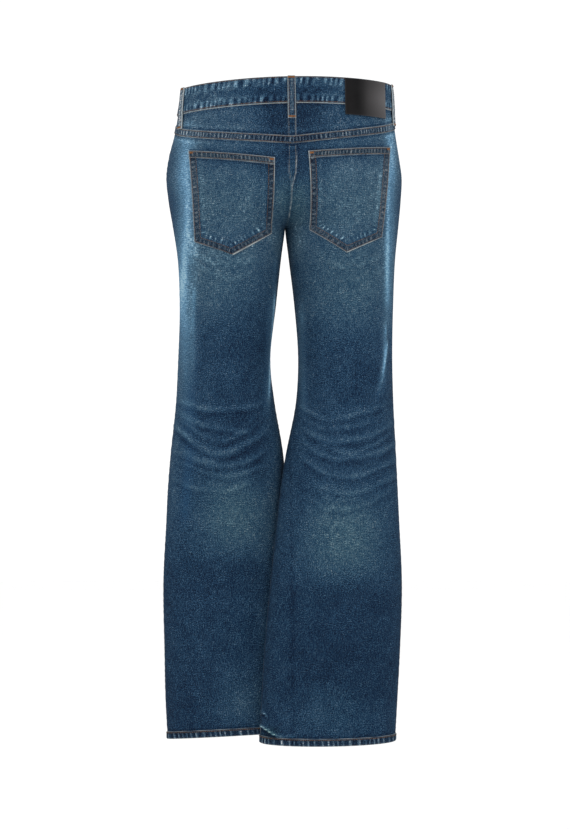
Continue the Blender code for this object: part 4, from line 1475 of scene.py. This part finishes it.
def make_pocket(side, name, material):
    distance, height = pocket_grid(POCKETS[side])
    turn = turn_at(side, distance, height, BACK)
    mouth, sewn, run = pocket_edges(side, distance, height)
    marks, hem, border, ripple = pocket_marks(side, distance, height, mouth, sewn, run)
    edge = np.minimum(sewn, mouth)
    full = POCKET_BULGE * np.clip(edge / 40.0, 0.0, 1.0)
    lift = DENIM + POCKET_GAP
    wall = DENIM + HEM_FOLD * hem + BORDER_FOLD * border + 0.25 * ripple + full - rolled(edge, DENIM, 1.0)
    return cloth_shell(name, (side, turn, height), lift + wall, lift, material, marks, offset=side * 8.0)


pockets = {}
for side, word in SIDES:
    pockets[word] = make_pocket(side, f"cloth_pocket_{word}", denim["trim"])
    hang(pockets[word], "denim", f"pocket_{word}")
print("pocket faces:", len(pockets["left"].data.polygons))

# %% [markdown]
# ## Front: facings and fly
# The scooped front pockets open over a denim facing, and the fly's edge laps over at
# the middle and rounds off below like a J. They are plain on this pair.

# %% Facings and fly
FACING_MARGIN = 16.0
FACING_OVERLAP = 4.0
FACING_GRID = (30, 46)
FLY_TOP = float(waist_seam(-90.0)) - 0.3
FLY_WIDTH = 36.0
FLY_LENGTH = 112.0
FLY_FOOT = 0.68
FLY_TOE = 5.0


def make_facing(side, name, material):
    rows, columns = FACING_GRID
    turns = -np.linspace(0.0, MOUTH_TURN + FACING_OVERLAP, columns)
    top = waist_seam(ring_angle(side, turns)) + 0.6
    bottom = mouth_line(ring_angle(side, turns)) - FACING_MARGIN
    heights = top + (bottom - top) * np.linspace(0.0, 1.0, rows)[:, None]
    turns = np.broadcast_to(turns, heights.shape)
    turns = np.minimum(turns, -np.degrees(0.3 / section(side, heights)[1]))
    marks = wear_light_and_shade(side, turns, heights)
    behind = mouth_line(ring_angle(side, turns)) - heights
    marks["fade"] = marks["fade"] - 0.10 - 0.1 * near(behind, -3.0, 6.0)
    places = (side, turns, heights)
    return cloth_shell(name, places, -LAYER_GAP, -LAYER_GAP - DENIM, material, marks, offset=side * 10.0)


def fly_width(shares):
    foot = np.clip((shares - FLY_FOOT) / (1.0 - FLY_FOOT), 0.0, 1.0)
    return np.maximum(FLY_WIDTH * np.sqrt(1.0 - foot**2), FLY_TOE)


def make_fly(material):
    shares = edge_rows(FLY_LENGTH, 1.9)[:, None] / FLY_LENGTH
    across = edge_rows(FLY_WIDTH, 1.6)[None, :] / FLY_WIDTH
    width = fly_width(shares)
    distance = JOIN + (width - JOIN) * across
    height = np.broadcast_to(FLY_TOP - FLY_LENGTH * shares, distance.shape)
    turn = turn_at(LEFT, distance, height, FRONT)
    marks = wear_light_and_shade(LEFT, turn, height)
    ripple = pucker(height, 9.0, 0.8)
    fade = marks["fade"] + 0.08 * ripple * near(width - distance, 5.0, 5.0) - 0.03
    rub = 0.6 * rubbed(distance, 1.2) + 0.35 * rubbed(width - distance, 1.1)
    lift = DENIM + POCKET_GAP
    roll = rolled(np.minimum(distance, width - distance), DENIM, 1.0)
    outer = lift + DENIM - roll + 0.12 * ripple
    marks.update(fade=fade, rub=rub)
    return cloth_shell("cloth_fly", (LEFT, turn, height), outer, lift, material, marks, offset=12.0)


for side, word in SIDES:
    hang(make_facing(side, f"cloth_facing_{word}", denim["hips"]), "denim", f"facing_{word}")
fly = hang(make_fly(denim["hips"]), "denim", "fly")
print("fly faces:", len(fly.data.polygons))

# %% [markdown]
# ## Belt loops
# A loop is a narrow strip with both edges folded under, so its edges are thick and rub
# white. Its ends are tacked down and the middle stands off the band for the belt.

# %% Belt loops
LOOP_WIDTH = 12.0
LOOP_LENGTH = 66.5
LOOP_THICKNESS = 1.8
LOOP_RISE = 1.0
# Ring angles of the loops, and how far the two at the sides slant and are paler
LOOPS = {"centre": 90.0, "side_left": 11.0, "side_right": 171.0, "front_left": -47.0, "front_right": 227.0}
LOOP_SLANT = {"side_left": 5.0, "side_right": -4.2}
SIDE_LOOP_PALE = 0.40
# Shares of the way down a loop, and how much of its stand it has there
LOOP_SHARES = (0.0, 0.07, 0.2, 0.45, 0.62, 0.78, 0.93, 1.0)
LOOP_STAND = (0.0, 0.0, 0.8, 1.0, 1.0, 0.6, 0.0, 0.0)
LOOP_ON_BAND = 0.68


def loop_lift(shares):
    """How far a loop's inner face stands off, from its top end to its lower end."""
    below = DENIM + FELLED + LAYER_GAP
    on_band = WAISTBAND_WALL + LAYER_GAP
    base = below + (on_band - below) * smooth_step((LOOP_ON_BAND - shares) / 0.08)
    return base + LOOP_RISE * np.interp(shares, LOOP_SHARES, LOOP_STAND)


def loop_ring(word, shares):
    """The ring angle of a loop's middle, which slants a little at the sides."""
    return LOOPS[word] + LOOP_SLANT.get(word, 0.0) * shares


def make_loop(word, material):
    ring = LOOPS[word]
    half = float(ring_step(ring, LOOP_WIDTH / 2))
    across = edge_rows(LOOP_WIDTH, 1.2)[None, :]
    down = edge_rows(LOOP_LENGTH, 1.6)[:, None]
    rings = loop_ring(word, down / LOOP_LENGTH) - half + across / LOOP_WIDTH * 2 * half
    heights = np.broadcast_to(float(waist_top(ring)) - down, (len(down), across.shape[1]))
    rings = np.broadcast_to(rings, heights.shape)
    edge = np.minimum(across, LOOP_WIDTH - across)
    ripple = pucker(down + 0.4 * across, 6.8, ring * 0.1)
    pale = SIDE_LOOP_PALE if word in LOOP_SLANT else 0.0
    fade = 0.34 + pale + 0.12 * ripple + 0.10 * pucker(down, 2.4, 0.3)
    fade = fade + 0.26 * near(edge, LOOP_WIDTH / 2, 1.5)
    rub = rubbed(edge, 0.75) * 0.75 + 0.2 * rubbed(down, 0.8) + 0.4 * rubbed(LOOP_LENGTH - down, 0.8)
    lift = loop_lift(down / LOOP_LENGTH)
    roll = rolled(edge, LOOP_THICKNESS, 1.2)
    middle_dip = 0.35 * near(edge, LOOP_WIDTH / 2, 2.0)
    outside = ring_point(rings, heights, lift + LOOP_THICKNESS - roll - middle_dip + 0.12 * ripple)
    inside = ring_point(rings, heights, lift)
    marks = {"fade": fade, "warm": 0.4, "rub": rub}
    return shell(f"cloth_loop_{word}", outside, inside, material, marks, offset=14.0 + ring * 0.01)


for word in LOOPS:
    hang(make_loop(word, denim["trim"]), "denim", f"belt_loop_{word}")

# %% [markdown]
# ## Leather patch
# A plain piece of black leather is sewn over the right of the waistband. It is stiffer
# than the cloth, so it bends round the hip in one even curve and its edges stay crisp.
# Its face has a fine pebbled grain, and a soft sheen towards the side is painted into its colour.

# %% Leather
PATCH_INNER = 83.5
PATCH_OUTER = 150.0
PATCH_HEIGHT = 57.5
PATCH_DROP = 1.2
PATCH_THICKNESS = 1.4
# The leather dips where it bridges the lower edge of the waistband
PATCH_DIP = 0.25
# Where the painted gloss sets in, and where the stronger painted sheen on the bend towards the side starts
PAINTED_GLOSS_START = 18.0
PAINTED_SHEEN_BEND_START = 29.0
PEBBLES_PER_METRE = 1100.0
PORES = (1600.0, 1600.0, 1.0)
LEATHER_CLOUDS = (45.0, 30.0, 1.0)
HIDE_DARK = srgb(8, 8, 9)
HIDE_LIGHT = srgb(20, 19, 20)
# The light grey of the painted sheen
PAINTED_HIDE_SHEEN = srgb(88, 86, 87)


def make_leather():
    finish = Finish("black_leather")
    flat = finish.node("ShaderNodeUVMap", {"uv_map": "cloth"}, {}, "UV")
    grain_of = {"Vector": flat, "Scale": PEBBLES_PER_METRE}
    pebble = finish.node("ShaderNodeTexVoronoi", {"feature": "F1"}, grain_of)
    pore = finish.noise(flat, PORES, 2.0)
    cloudy = finish.noise(flat, LEATHER_CLOUDS, 3.0)
    shade = (pore * 0.5 + cloudy * 0.5).above(0.3, 0.75)
    hide = finish.blend(shade, HIDE_DARK, HIDE_LIGHT)
    # Painted sheen: the patch's mark mixes the hide towards a light grey that stands for gloss, and it also
    # pales the rubbed edges
    base = finish.blend(finish.mark("rub") * (0.8 + pore * 0.4), hide, PAINTED_HIDE_SHEEN)
    bump = finish.bump(0.35, 0.0002, pebble * 0.8 + pore * 0.5)
    finish.set(Base_Color=base, Roughness=0.36 + cloudy * 0.16, Normal=bump, Specular_IOR_Level=0.06)
    return finish.material


def make_patch(material):
    width = PATCH_OUTER - PATCH_INNER
    across = edge_rows(width, 1.8)[None, :]
    down = edge_rows(PATCH_HEIGHT, 2.2)[:, None]
    distance = PATCH_INNER + across
    top = waist_top(ring_angle(RIGHT, turn_at(RIGHT, distance, 0.0, BACK))) - PATCH_DROP
    heights = top - down
    turns = turn_at(RIGHT, np.broadcast_to(distance, heights.shape), heights, BACK)
    edge = np.minimum(np.minimum(across, width - across), np.minimum(down, PATCH_HEIGHT - down))
    lift = WAISTBAND_WALL + LAYER_GAP - PATCH_DIP * near(down, WAISTBAND_HEIGHT + 1.0, 2.5)
    outer = lift + PATCH_THICKNESS - rolled(edge, PATCH_THICKNESS, 1.0)
    # A painted sheen that starts faint and grows towards the side, where the leather bends round the hip. It
    # is stored in one mark with the rubbed edges
    painted_gloss = 0.2 * smooth_step((across - PAINTED_GLOSS_START) / 20.0)
    bend = 0.8 * np.clip((across - PAINTED_SHEEN_BEND_START) / 37.0, 0.0, 1.0)**1.3
    painted_sheen = (painted_gloss + bend) * (0.85 + 0.15 * np.sin(down * 0.11 - 1.5))
    marks = {"rub": 0.86 * painted_sheen + 0.15 * rubbed(edge, 0.7)}
    return cloth_shell("patch_leather", (RIGHT, turns, heights), outer, lift, material, marks, offset=1.0)


patch = hang(make_patch(make_leather()), "leather", "leather_patch")
print("patch faces:", len(patch.data.polygons))

# %% [markdown]
# ## Waist button
# A shank button is a pressed brass cap on a short post. Its face is turned in rings: a
# raised rim, a groove and a low dome. It is one profile, spun round its axis.

# %% Button
BUTTON_OFFSET = 15.0
BUTTON_SPOKES = 64
# Radius and rise, from the post over the rim to the middle of the dome
BUTTON_PROFILE = (
    (3.2, 0.0), (3.2, 1.2), (7.9, 1.35), (8.45, 1.7), (8.6, 2.2),
    (8.4, 2.7), (7.9, 3.1), (7.3, 3.2), (6.8, 3.05), (6.5, 2.75),
    (6.1, 2.7), (5.4, 2.85), (3.6, 3.1), (1.8, 3.2), (0.3, 3.22),
)
BRASS_STAINS = (420.0, 420.0, 420.0)
BRASS_SCRATCHES = (900.0, 120.0, 900.0)
BRASS_DARK = (0.30, 0.20, 0.10, 1.0)
BRASS_BRIGHT = (0.52, 0.38, 0.20, 1.0)


def make_brass():
    finish = Finish("aged_brass")
    place = finish.node("ShaderNodeTexCoord", {}, {}, "Object")
    stain = finish.noise(place, BRASS_STAINS, 4.0)
    scratch = finish.noise(place, BRASS_SCRATCHES, 2.0)
    metal = finish.blend(stain.above(0.35, 0.7), BRASS_DARK, BRASS_BRIGHT)
    bump = finish.bump(0.2, 0.0001, stain + scratch * 0.4)
    finish.set(Base_Color=metal, Metallic=1.0, Roughness=0.28 + stain * 0.3, Normal=bump)
    return finish.material


def make_button(material):
    ring = -90.0 + float(ring_step(-90.0, BUTTON_OFFSET))
    height = float(waist_top(ring)) - WAISTBAND_HEIGHT / 2
    angles = np.linspace(0.0, 2 * math.pi, BUTTON_SPOKES, endpoint=False)
    radius, rise = np.array(BUTTON_PROFILE).T[..., None]
    rise = np.broadcast_to(rise, (len(rise), BUTTON_SPOKES))
    spun = np.stack((radius * np.cos(angles), radius * np.sin(angles), rise), axis=-1)
    axis = outward(*side_and_turn(ring), np.float64(height))
    level = unit(np.cross((0.0, 0.0, 1.0), axis))
    seat = ring_point(ring, height, WAISTBAND_WALL + LAP_GAP)
    turned = spun @ np.stack((level, np.cross(axis, level), axis)) + seat
    body = bpy.data.meshes.new("button_cap")
    rows, columns = turned.shape[:2]
    faces = []
    for row in range(rows - 1):
        for k in range(columns):
            after = (k + 1) % columns
            faces.append((row * columns + k, row * columns + after,
                          (row + 1) * columns + after, (row + 1) * columns + k))
    faces.append(tuple(range(columns))[::-1])
    faces.append(tuple((rows - 1) * columns + k for k in range(columns)))
    body.from_pydata((turned.reshape(-1, 3) * METRES).tolist(), [], faces)
    body.shade_smooth()
    body.materials.append(material)
    return put_in_scene("button_cap", body)


button = hang(make_button(make_brass()), "button_metal", "waist_button")
print("button faces:", len(button.data.polygons))

# %% [markdown]
# ## Sewing
# Each stitch is a short length of thread that dives into the cloth at both ends, so it
# is a small spindle, thick in the middle and sunk at its tips. Thousands of them are
# written as one mesh for each run of sewing. The thread is rust brown cotton, brighter
# in the bar tacks and washed out to grey on the seat seam.

# %% Thread and stitches
STITCH_PITCH = 3.5
STITCH_LENGTH = 3.0
TACK_PITCH = 0.62
THREAD = 0.48
FIBRES = (2600.0, 2600.0, 2600.0)

# Rings of a stitch: the share of the way along, and the swell and the rise in radii
SpindleRing = namedtuple("SpindleRing", "share swell rise")
SPINDLE = [SpindleRing(*row) for row in (
    (0.0, 0.35, -0.7),
    (0.14, 0.85, 0.0),
    (0.5, 1.0, 0.45),
    (0.86, 0.85, 0.0),
    (1.0, 0.35, -0.7),
)]
SPINDLE_SIDES = 6
SPINDLE_FLATNESS = 0.8


def make_thread(name, dark, light):
    finish = Finish(name)
    place = finish.node("ShaderNodeTexCoord", {}, {}, "Object")
    fibre = finish.noise(place, FIBRES, 2.0)
    tone = (finish.mark("shade") * 0.75 + fibre * 0.5 - 0.12).limited()
    base = finish.blend(tone, dark, light)
    bump = finish.bump(0.4, 0.0001, fibre)
    finish.set(Base_Color=base, Roughness=0.6 + fibre * 0.3, Normal=bump, Specular_IOR_Level=0.25)
    return finish.material


def chance(count, seed):
    """The same uneven shares from 0 to 1 on every run."""
    return (np.sin(np.arange(count) * 12.9898 + seed) * 43758.5453) % 1.0


def resample(vectors, walked, places):
    """Vectors at places along a line, between the ones that are given."""
    return np.stack([np.interp(places, walked, column) for column in vectors.T], axis=-1)


def stitch_row(points, normals, pitch=STITCH_PITCH, length=STITCH_LENGTH):
    """The two ends and the facing of each stitch along a line."""
    walked = walked_along(points)
    count = max(1, int(walked[-1] / pitch))
    starts = (np.arange(count) + 0.5) * walked[-1] / count - length / 2
    first = resample(points, walked, starts)
    second = resample(points, walked, starts + length)
    return first, second, unit(resample(normals, walked, starts))


def bar_tack(centre, along, facing, length, width):
    """A dense block of short stitches across a line, which holds a corner."""
    count = int(length / TACK_PITCH)
    across = np.cross(facing, along)
    places = (np.arange(count) / (count - 1) - 0.5) * length
    middles = centre + places[:, None] * along
    reach = (width / 2 * (0.9 + 0.2 * chance(count, length)))[:, None]
    return middles - across * reach, middles + across * reach, np.broadcast_to(facing, middles.shape)


def spindle_faces():
    """The faces of one stitch. Each of its ends has six corners, so it takes two faces."""
    last = (len(SPINDLE) - 1) * SPINDLE_SIDES
    quads = []
    for low in range(0, last, SPINDLE_SIDES):
        for k in range(SPINDLE_SIDES):
            after = (k + 1) % SPINDLE_SIDES
            quads.append((low + k, low + after, low + SPINDLE_SIDES + after, low + SPINDLE_SIDES + k))
    ends = np.array([(0, 1, 2, 3), (0, 3, 4, 5)])
    return np.concatenate((quads, ends[:, ::-1], ends + last))


def sew(name, rows, material, radius=THREAD, seed=1.0):
    """One mesh of all the stitches in the rows."""
    first, second, facing = (np.concatenate(column) for column in zip(*rows))
    along = unit(second - first)
    across = unit(np.cross(along, facing))
    up = np.cross(across, along)
    angles = np.linspace(0.0, 2 * math.pi, SPINDLE_SIDES, endpoint=False)[:, None]
    spread = across[:, None] * np.cos(angles) + SPINDLE_FLATNESS * up[:, None] * np.sin(angles)
    rings = []
    for ring in SPINDLE:
        centre = first + (second - first) * ring.share + up * ring.rise * radius
        rings.append(centre[:, None] + spread * ring.swell * radius)
    vertices = np.stack(rings, axis=1)
    count, corners = len(first), len(SPINDLE) * SPINDLE_SIDES
    faces = (np.arange(count)[:, None, None] * corners + spindle_faces()).reshape(-1, 4)
    piece = mesh_object(name, vertices.reshape(-1, 3), faces, material)
    add_attribute(piece, "shade", np.repeat(chance(count, seed), corners))
    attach(piece, "root")
    return piece


rust = make_thread("rust_thread", dye(52, 40, 34), dye(116, 84, 60))
amber = make_thread("amber_thread", dye(74, 50, 36), dye(158, 104, 58))
pale = make_thread("pale_thread", dye(50, 56, 64), dye(108, 108, 106))
print("faces of one stitch:", len(spindle_faces()))

# %% [markdown]
# ## Where the rows run
# A row is a line on the cloth, given by the same functions that shaped the piece and a
# margin from its edge. Rows sit on the outer face, so each takes the lift of its piece.


# %% Lines on the cloth
POINT_STEP = 1.5


def cloth_line(side, turns, heights, lift):
    side, turns, heights = np.broadcast_arrays(side, turns, heights)
    return cloth(side, turns, heights, lift), outward(side, turns, heights)


def ring_line(rings, heights, lift):
    side, turn = side_and_turn(rings)
    side, turn, heights = np.broadcast_arrays(side, turn, heights)
    return ring_point(rings, heights, lift), outward(side, turn, heights)


def cloth_row(side, turns, heights, lift):
    return stitch_row(*cloth_line(side, turns, heights, lift))


def between(start, end):
    """Points along a straight line between two corners on the flat cut."""
    count = max(2, int(np.linalg.norm(np.subtract(end, start)) / POINT_STEP))
    return np.linspace(start, end, count)


def inset(corners, margin):
    """The corners of an outline, moved in by a margin."""
    corners = np.array(corners, dtype=float)
    middle = corners.mean(axis=0)
    moved = []
    for k in range(len(corners)):
        before, here, after = corners[k - 1], corners[k], corners[(k + 1) % len(corners)]
        lines = []
        for start, end in ((before, here), (here, after)):
            along = unit(end - start)
            normal = np.array([-along[1], along[0]])
            if normal @ (middle - start) < 0:
                normal = -normal
            lines.append((normal, normal @ start + margin))
        normals, places = zip(*lines)
        moved.append(np.linalg.solve(normals, places))
    return moved


square = inset([(0, 0), (10, 0), (10, 10), (0, 10)], 2)
print("a square of 10, moved in by 2:", [corner.tolist() for corner in square])

# %% [markdown]
# ## The rows of each piece
# Every function below gives the rows of one piece of sewing. Denim is topstitched close
# to its edges, mostly in two rows: one on the very fold, and one where the allowance
# underneath ends.

# %% Rows of sewing
# Margins of the rows from the edge that each one follows
WAIST_MARGINS = (1.9, WAISTBAND_HEIGHT - 2.4)
YOKE_MARGINS = (1.5, YOKE_BAND - 1.6)
SEAT_MARGIN = 1.5
HEM_MARGIN = 2.1
POCKET_MARGINS = (1.9, POCKET_BORDER - 1.2)
POCKET_MOUTH_MARGINS = (1.8, POCKET_HEM - 1.5)
MOUTH_MARGINS = (2.0, 8.0)
FLY_MARGINS = (1.8, 7.8)
LOOP_MARGIN = 2.4
# Faces that rows lie on, and how far above them the middle of the thread is
ON_CLOTH = 0.08
ON_FOLD = 0.1
SEAM_FACE = DENIM + FELLED
PATCHED_FACE = 2 * DENIM + POCKET_GAP


def on_pocket(side, corners, lift):
    """Stitches down one side of a pocket, round its foot and up the other."""
    rows = []
    for start, end in zip(corners, corners[1:]):
        flat = between(start, end)
        turn = turn_at(side, flat[:, 0], flat[:, 1], BACK)
        rows.append(cloth_row(side, turn, flat[:, 1], lift))
    return rows


def waist_rows():
    start, end = band_ends()
    rings = np.arange(start + 0.6, end - 12.0, 0.5)
    lift = WAISTBAND_WALL - band_sink(rings) + ON_FOLD
    rows = [stitch_row(*ring_line(rings, waist_top(rings) - down, lift)) for down in WAIST_MARGINS]
    edge = np.linspace(*WAIST_MARGINS, 20)
    ring = start + WAIST_MARGINS[0] * FRONT_STEP
    rows.append(stitch_row(*ring_line(np.full(20, ring), waist_top(ring) - edge, WAISTBAND_WALL + ON_FOLD)))
    return rows


def yoke_rows(side):
    turns = np.arange(0.6, 90.0, 0.5)
    seam = yoke_seam(ring_angle(side, turns))
    lift = SEAM_FACE + ON_CLOTH
    return [cloth_row(side, turns, seam + above, lift) for above in YOKE_MARGINS]


def yoke_middle_row(side):
    heights = np.linspace(float(waist_seam(90.0)) - 3.0, float(yoke_seam(90.0)) + YOKE_BAND + 1.0, 30)
    turn = turn_at(side, SEAT_BAND - 1.6, heights, BACK)
    return cloth_row(side, turn, heights, SEAM_FACE + ON_CLOTH)


def seat_rows(side):
    heights = np.linspace(float(yoke_seam(90.0)) - 2.5, -150.0, 40)
    turn = turn_at(side, seat_half(heights) - SEAT_MARGIN, heights, BACK)
    return [yoke_middle_row(side), cloth_row(side, turn, heights, SEAM_FACE + ON_CLOTH)]


def hem_row(side):
    turns = np.linspace(-180.0, 180.0, 500)
    heights = hem_line(side, turns) + HEM_HEIGHT - HEM_MARGIN
    return [cloth_row(side, turns, heights, HEM_WALL + ON_FOLD)]


def pocket_rows(side):
    cut = POCKETS[side]
    order = [cut.mouth_inner, cut.foot_inner, cut.tip, cut.foot_outer, cut.mouth_outer]
    rows = []
    for margin in POCKET_MARGINS:
        first, *corners, last = inset(order, margin)
        top = (first[0], cut.mouth_inner[1] - 1.6)
        end = (last[0], cut.mouth_outer[1] - 1.6)
        rows += on_pocket(side, [top, *corners, end], PATCHED_FACE + 0.5)
    ends = inset(order, POCKET_MOUTH_MARGINS[0])
    for margin in POCKET_MOUTH_MARGINS:
        corners = inset(order, margin)
        first = (ends[0][0], corners[0][1])
        last = (ends[-1][0], corners[-1][1])
        rows += on_pocket(side, [first, last], PATCHED_FACE + 0.95)
    return rows


def mouth_rows(side):
    rows = []
    turns = -np.linspace(0.5, MOUTH_TURN - 0.3, 160)
    line = mouth_line(ring_angle(side, turns))
    across = side * bare_point(side, turns, line)[..., 0]
    scoop = np.stack((across, line), axis=-1)
    along = unit(np.gradient(scoop, axis=0))
    below = np.stack((along[:, 1], -along[:, 0]), axis=-1)
    below = below * np.where(below[:, 1] > 0, -1.0, 1.0)[:, None]
    for margin in MOUTH_MARGINS:
        distance, heights = (scoop + below * margin).T
        before_side = distance < side * bare_point(side, -1.0, heights)[..., 0]
        fits = before_side & (heights < line.max() - 1.0)
        turn = turn_at(side, distance[fits], heights[fits], FRONT)
        rows.append(cloth_row(side, turn, heights[fits], DENIM + ON_CLOTH))
    return rows


def fly_rows():
    rows = []
    for margin in FLY_MARGINS:
        shares = np.linspace(0.02, 0.985 - margin * 0.008, 90)
        distance = fly_width(shares) - margin
        kept = distance > JOIN + 2.5
        heights = FLY_TOP - FLY_LENGTH * shares[kept]
        turn = turn_at(LEFT, distance[kept], heights, FRONT)
        rows.append(cloth_row(LEFT, turn, heights, PATCHED_FACE + ON_CLOTH))
    return rows


def loop_rows(word):
    ring = LOOPS[word]
    down = np.linspace(2.0, LOOP_LENGTH - 2.0, 60)
    heights = float(waist_top(ring)) - down
    from_middle = float(ring_step(ring, LOOP_WIDTH / 2 - LOOP_MARGIN))
    lift = loop_lift(down / LOOP_LENGTH) + LOOP_THICKNESS + 0.02
    rows = []
    for offset in (-1, 1):
        rings = loop_ring(word, down / LOOP_LENGTH) + offset * from_middle
        rows.append(stitch_row(*ring_line(rings, heights, lift), pitch=3.0, length=2.5))
    return rows


sewn = {"stitches_waistband": waist_rows()}
for side, word in SIDES:
    sewn[f"stitches_yoke_{word}"] = yoke_rows(side)
    sew(f"stitches_seat_{word}", seat_rows(side), pale, radius=0.36, seed=4.0)
    sewn[f"stitches_hem_{word}"] = hem_row(side)
    sewn[f"stitches_pocket_{word}"] = pocket_rows(side)
    sewn[f"stitches_mouth_{word}"] = mouth_rows(side)
sewn["stitches_fly"] = fly_rows()
for name, rows in sewn.items():
    sew(name, rows, rust, seed=len(name))
for word in LOOPS:
    sew(f"stitches_loop_{word}", loop_rows(word), rust, radius=0.3, seed=2.0)
print("stitches:", sum(len(row[0]) for rows in sewn.values() for row in rows))

# %% [markdown]
# ## Bar tacks
# Corners that take a pull get a bar tack, a dense satin block of brighter thread: both
# ends of every belt loop and the two upper corners of each back pocket.


# %% Bar tacks
LOOP_TACKS = (2.2, LOOP_LENGTH - 2.6)
LOOP_TACK_SIZE = (LOOP_WIDTH - 1.8, 3.0)
POCKET_TACK = (2.4, 7.4)
POCKET_TACK_DROP = 3.4
POCKET_TACK_SIZE = (6.5, 3.4)


def tack_between(points, facing, size):
    """A bar tack that runs through two points on the cloth."""
    return bar_tack(points.mean(axis=0), unit(points[1] - points[0]), facing.mean(axis=0), *size)


def loop_tacks(word):
    ring = LOOPS[word]
    tacks = []
    for down in LOOP_TACKS:
        height = float(waist_top(ring)) - down
        lift = float(loop_lift(down / LOOP_LENGTH)) + LOOP_THICKNESS + ON_FOLD
        ends = np.array([-1.0, 1.0]) * float(ring_step(ring, 1.0))
        points, facing = ring_line(loop_ring(word, down / LOOP_LENGTH) + ends, height, lift)
        tacks.append(tack_between(points, facing, LOOP_TACK_SIZE))
    return tacks


def pocket_tacks(side):
    cut = POCKETS[side]
    tacks = []
    for corner, other in ((cut.mouth_inner, cut.mouth_outer), (cut.mouth_outer, cut.mouth_inner)):
        along = unit(np.subtract(other, corner))
        spots = np.array([np.add(corner, along * reach) - (0.0, POCKET_TACK_DROP) for reach in POCKET_TACK])
        turn = turn_at(side, spots[:, 0], spots[:, 1], BACK)
        points, facing = cloth_line(side, turn, spots[:, 1], PATCHED_FACE + 1.05)
        tacks.append(tack_between(points, facing, POCKET_TACK_SIZE))
    return tacks


for word in LOOPS:
    sew(f"tacks_loop_{word}", loop_tacks(word), amber, radius=0.4, seed=5.0)
for side, word in SIDES:
    sew(f"tacks_pocket_{word}", pocket_tacks(side), amber, radius=0.36, seed=6.0)
print("bar tacks:", 2 * len(LOOPS) + 4)

# %% [markdown]
# ## All the pieces
# Every piece of the jeans is now in the scene, riding on the one body.

print("all pieces of the jeans are made")

# %% [markdown]
# ## Floor, light and camera
# Denim shows its fades best in broad, even light, so the world itself is a white tent.
# One large panel from the upper left gives the legs their roundness, a second one beside
# the camera fills the shadows, and a small one stands at the right. The soft sheen on the
# leather is painted into its colour. The camera is level with the middle of the leg and a
# few degrees round from the middle of the back.

# %% Stage
FLOOR_LEVEL = -1.30
FLOOR_SIZE = 9.0
CAMERA_DISTANCE = 4.5
CAMERA_TURN = 5.5
CAMERA_LEVEL = -0.516
FILM_HEIGHT = 36.0
VIEW_HEIGHT = 1.3098
TENT_STRENGTH = 1.08
FLOOR_CORNERS = 96

Lamp = namedtuple("Lamp", "name place target size watts")
LAMPS = (
    Lamp("key_panel", (2.0, 4.0, 1.3), (0.0, 0.0, -0.45), 2.4, 60.0),
    Lamp("front_panel", (-0.6, 4.6, 0.4), (0.0, 0.0, -0.55), 2.0, 45.0),
    Lamp("edge_panel", (-2.2, 2.2, 0.4), (-0.1, 0.0, -0.05), 0.7, 9.0),
)


def make_floor():
    finish = Finish("pale_floor")
    place = finish.node("ShaderNodeTexCoord", {}, {}, "Object")
    speckle = finish.noise(place, (260.0, 260.0, 260.0), 2.0)
    paint = finish.blend(speckle, (0.90, 0.90, 0.90, 1.0), (0.94, 0.94, 0.94, 1.0))
    finish.set(Base_Color=paint, Roughness=0.9, Specular_IOR_Level=0.1)
    angles = np.linspace(0.0, 2 * math.pi, FLOOR_CORNERS, endpoint=False)
    mesh = bpy.data.meshes.new("studio_floor")
    corners = [(FLOOR_SIZE * math.cos(a), FLOOR_SIZE * math.sin(a), FLOOR_LEVEL) for a in angles]
    mesh.from_pydata(corners, [], [tuple(range(len(corners)))])
    mesh.materials.append(finish.material)
    floor = put_in_scene("studio_floor", mesh)


def make_world(strength):
    world = bpy.data.worlds.new("white_tent")
    world.use_nodes = True
    background = world.node_tree.nodes["Background"]
    background.inputs["Color"].default_value = (1.0, 1.0, 1.0, 1.0)
    background.inputs["Strength"].default_value = strength
    bpy.context.scene.world = world


def make_light(lamp):
    panel = bpy.data.lights.new(lamp.name, "AREA")
    panel.shape = "RECTANGLE"
    panel.size = lamp.size
    panel.size_y = lamp.size
    panel.energy = lamp.watts
    light = put_in_scene(lamp.name, panel)
    light.location = lamp.place
    light.rotation_euler = (Vector(lamp.target) - Vector(lamp.place)).to_track_quat("-Z", "Y").to_euler()


def make_camera():
    lens = bpy.data.cameras.new("camera")
    lens.sensor_fit = "AUTO"
    lens.sensor_width = FILM_HEIGHT
    lens.lens = FILM_HEIGHT * CAMERA_DISTANCE / VIEW_HEIGHT
    camera = put_in_scene("camera", lens)
    angle = math.radians(CAMERA_TURN)
    camera.location = (CAMERA_DISTANCE * math.sin(angle), CAMERA_DISTANCE * math.cos(angle), CAMERA_LEVEL)
    camera.rotation_euler = (math.radians(90.0), 0.0, math.pi - angle)
    bpy.context.scene.camera = camera


make_floor()
make_world(TENT_STRENGTH)
for lamp in LAMPS:
    make_light(lamp)
make_camera()
bpy.context.scene.view_settings.view_transform = "Standard"
print("camera lens:", round(bpy.context.scene.camera.data.lens, 1), "mm")
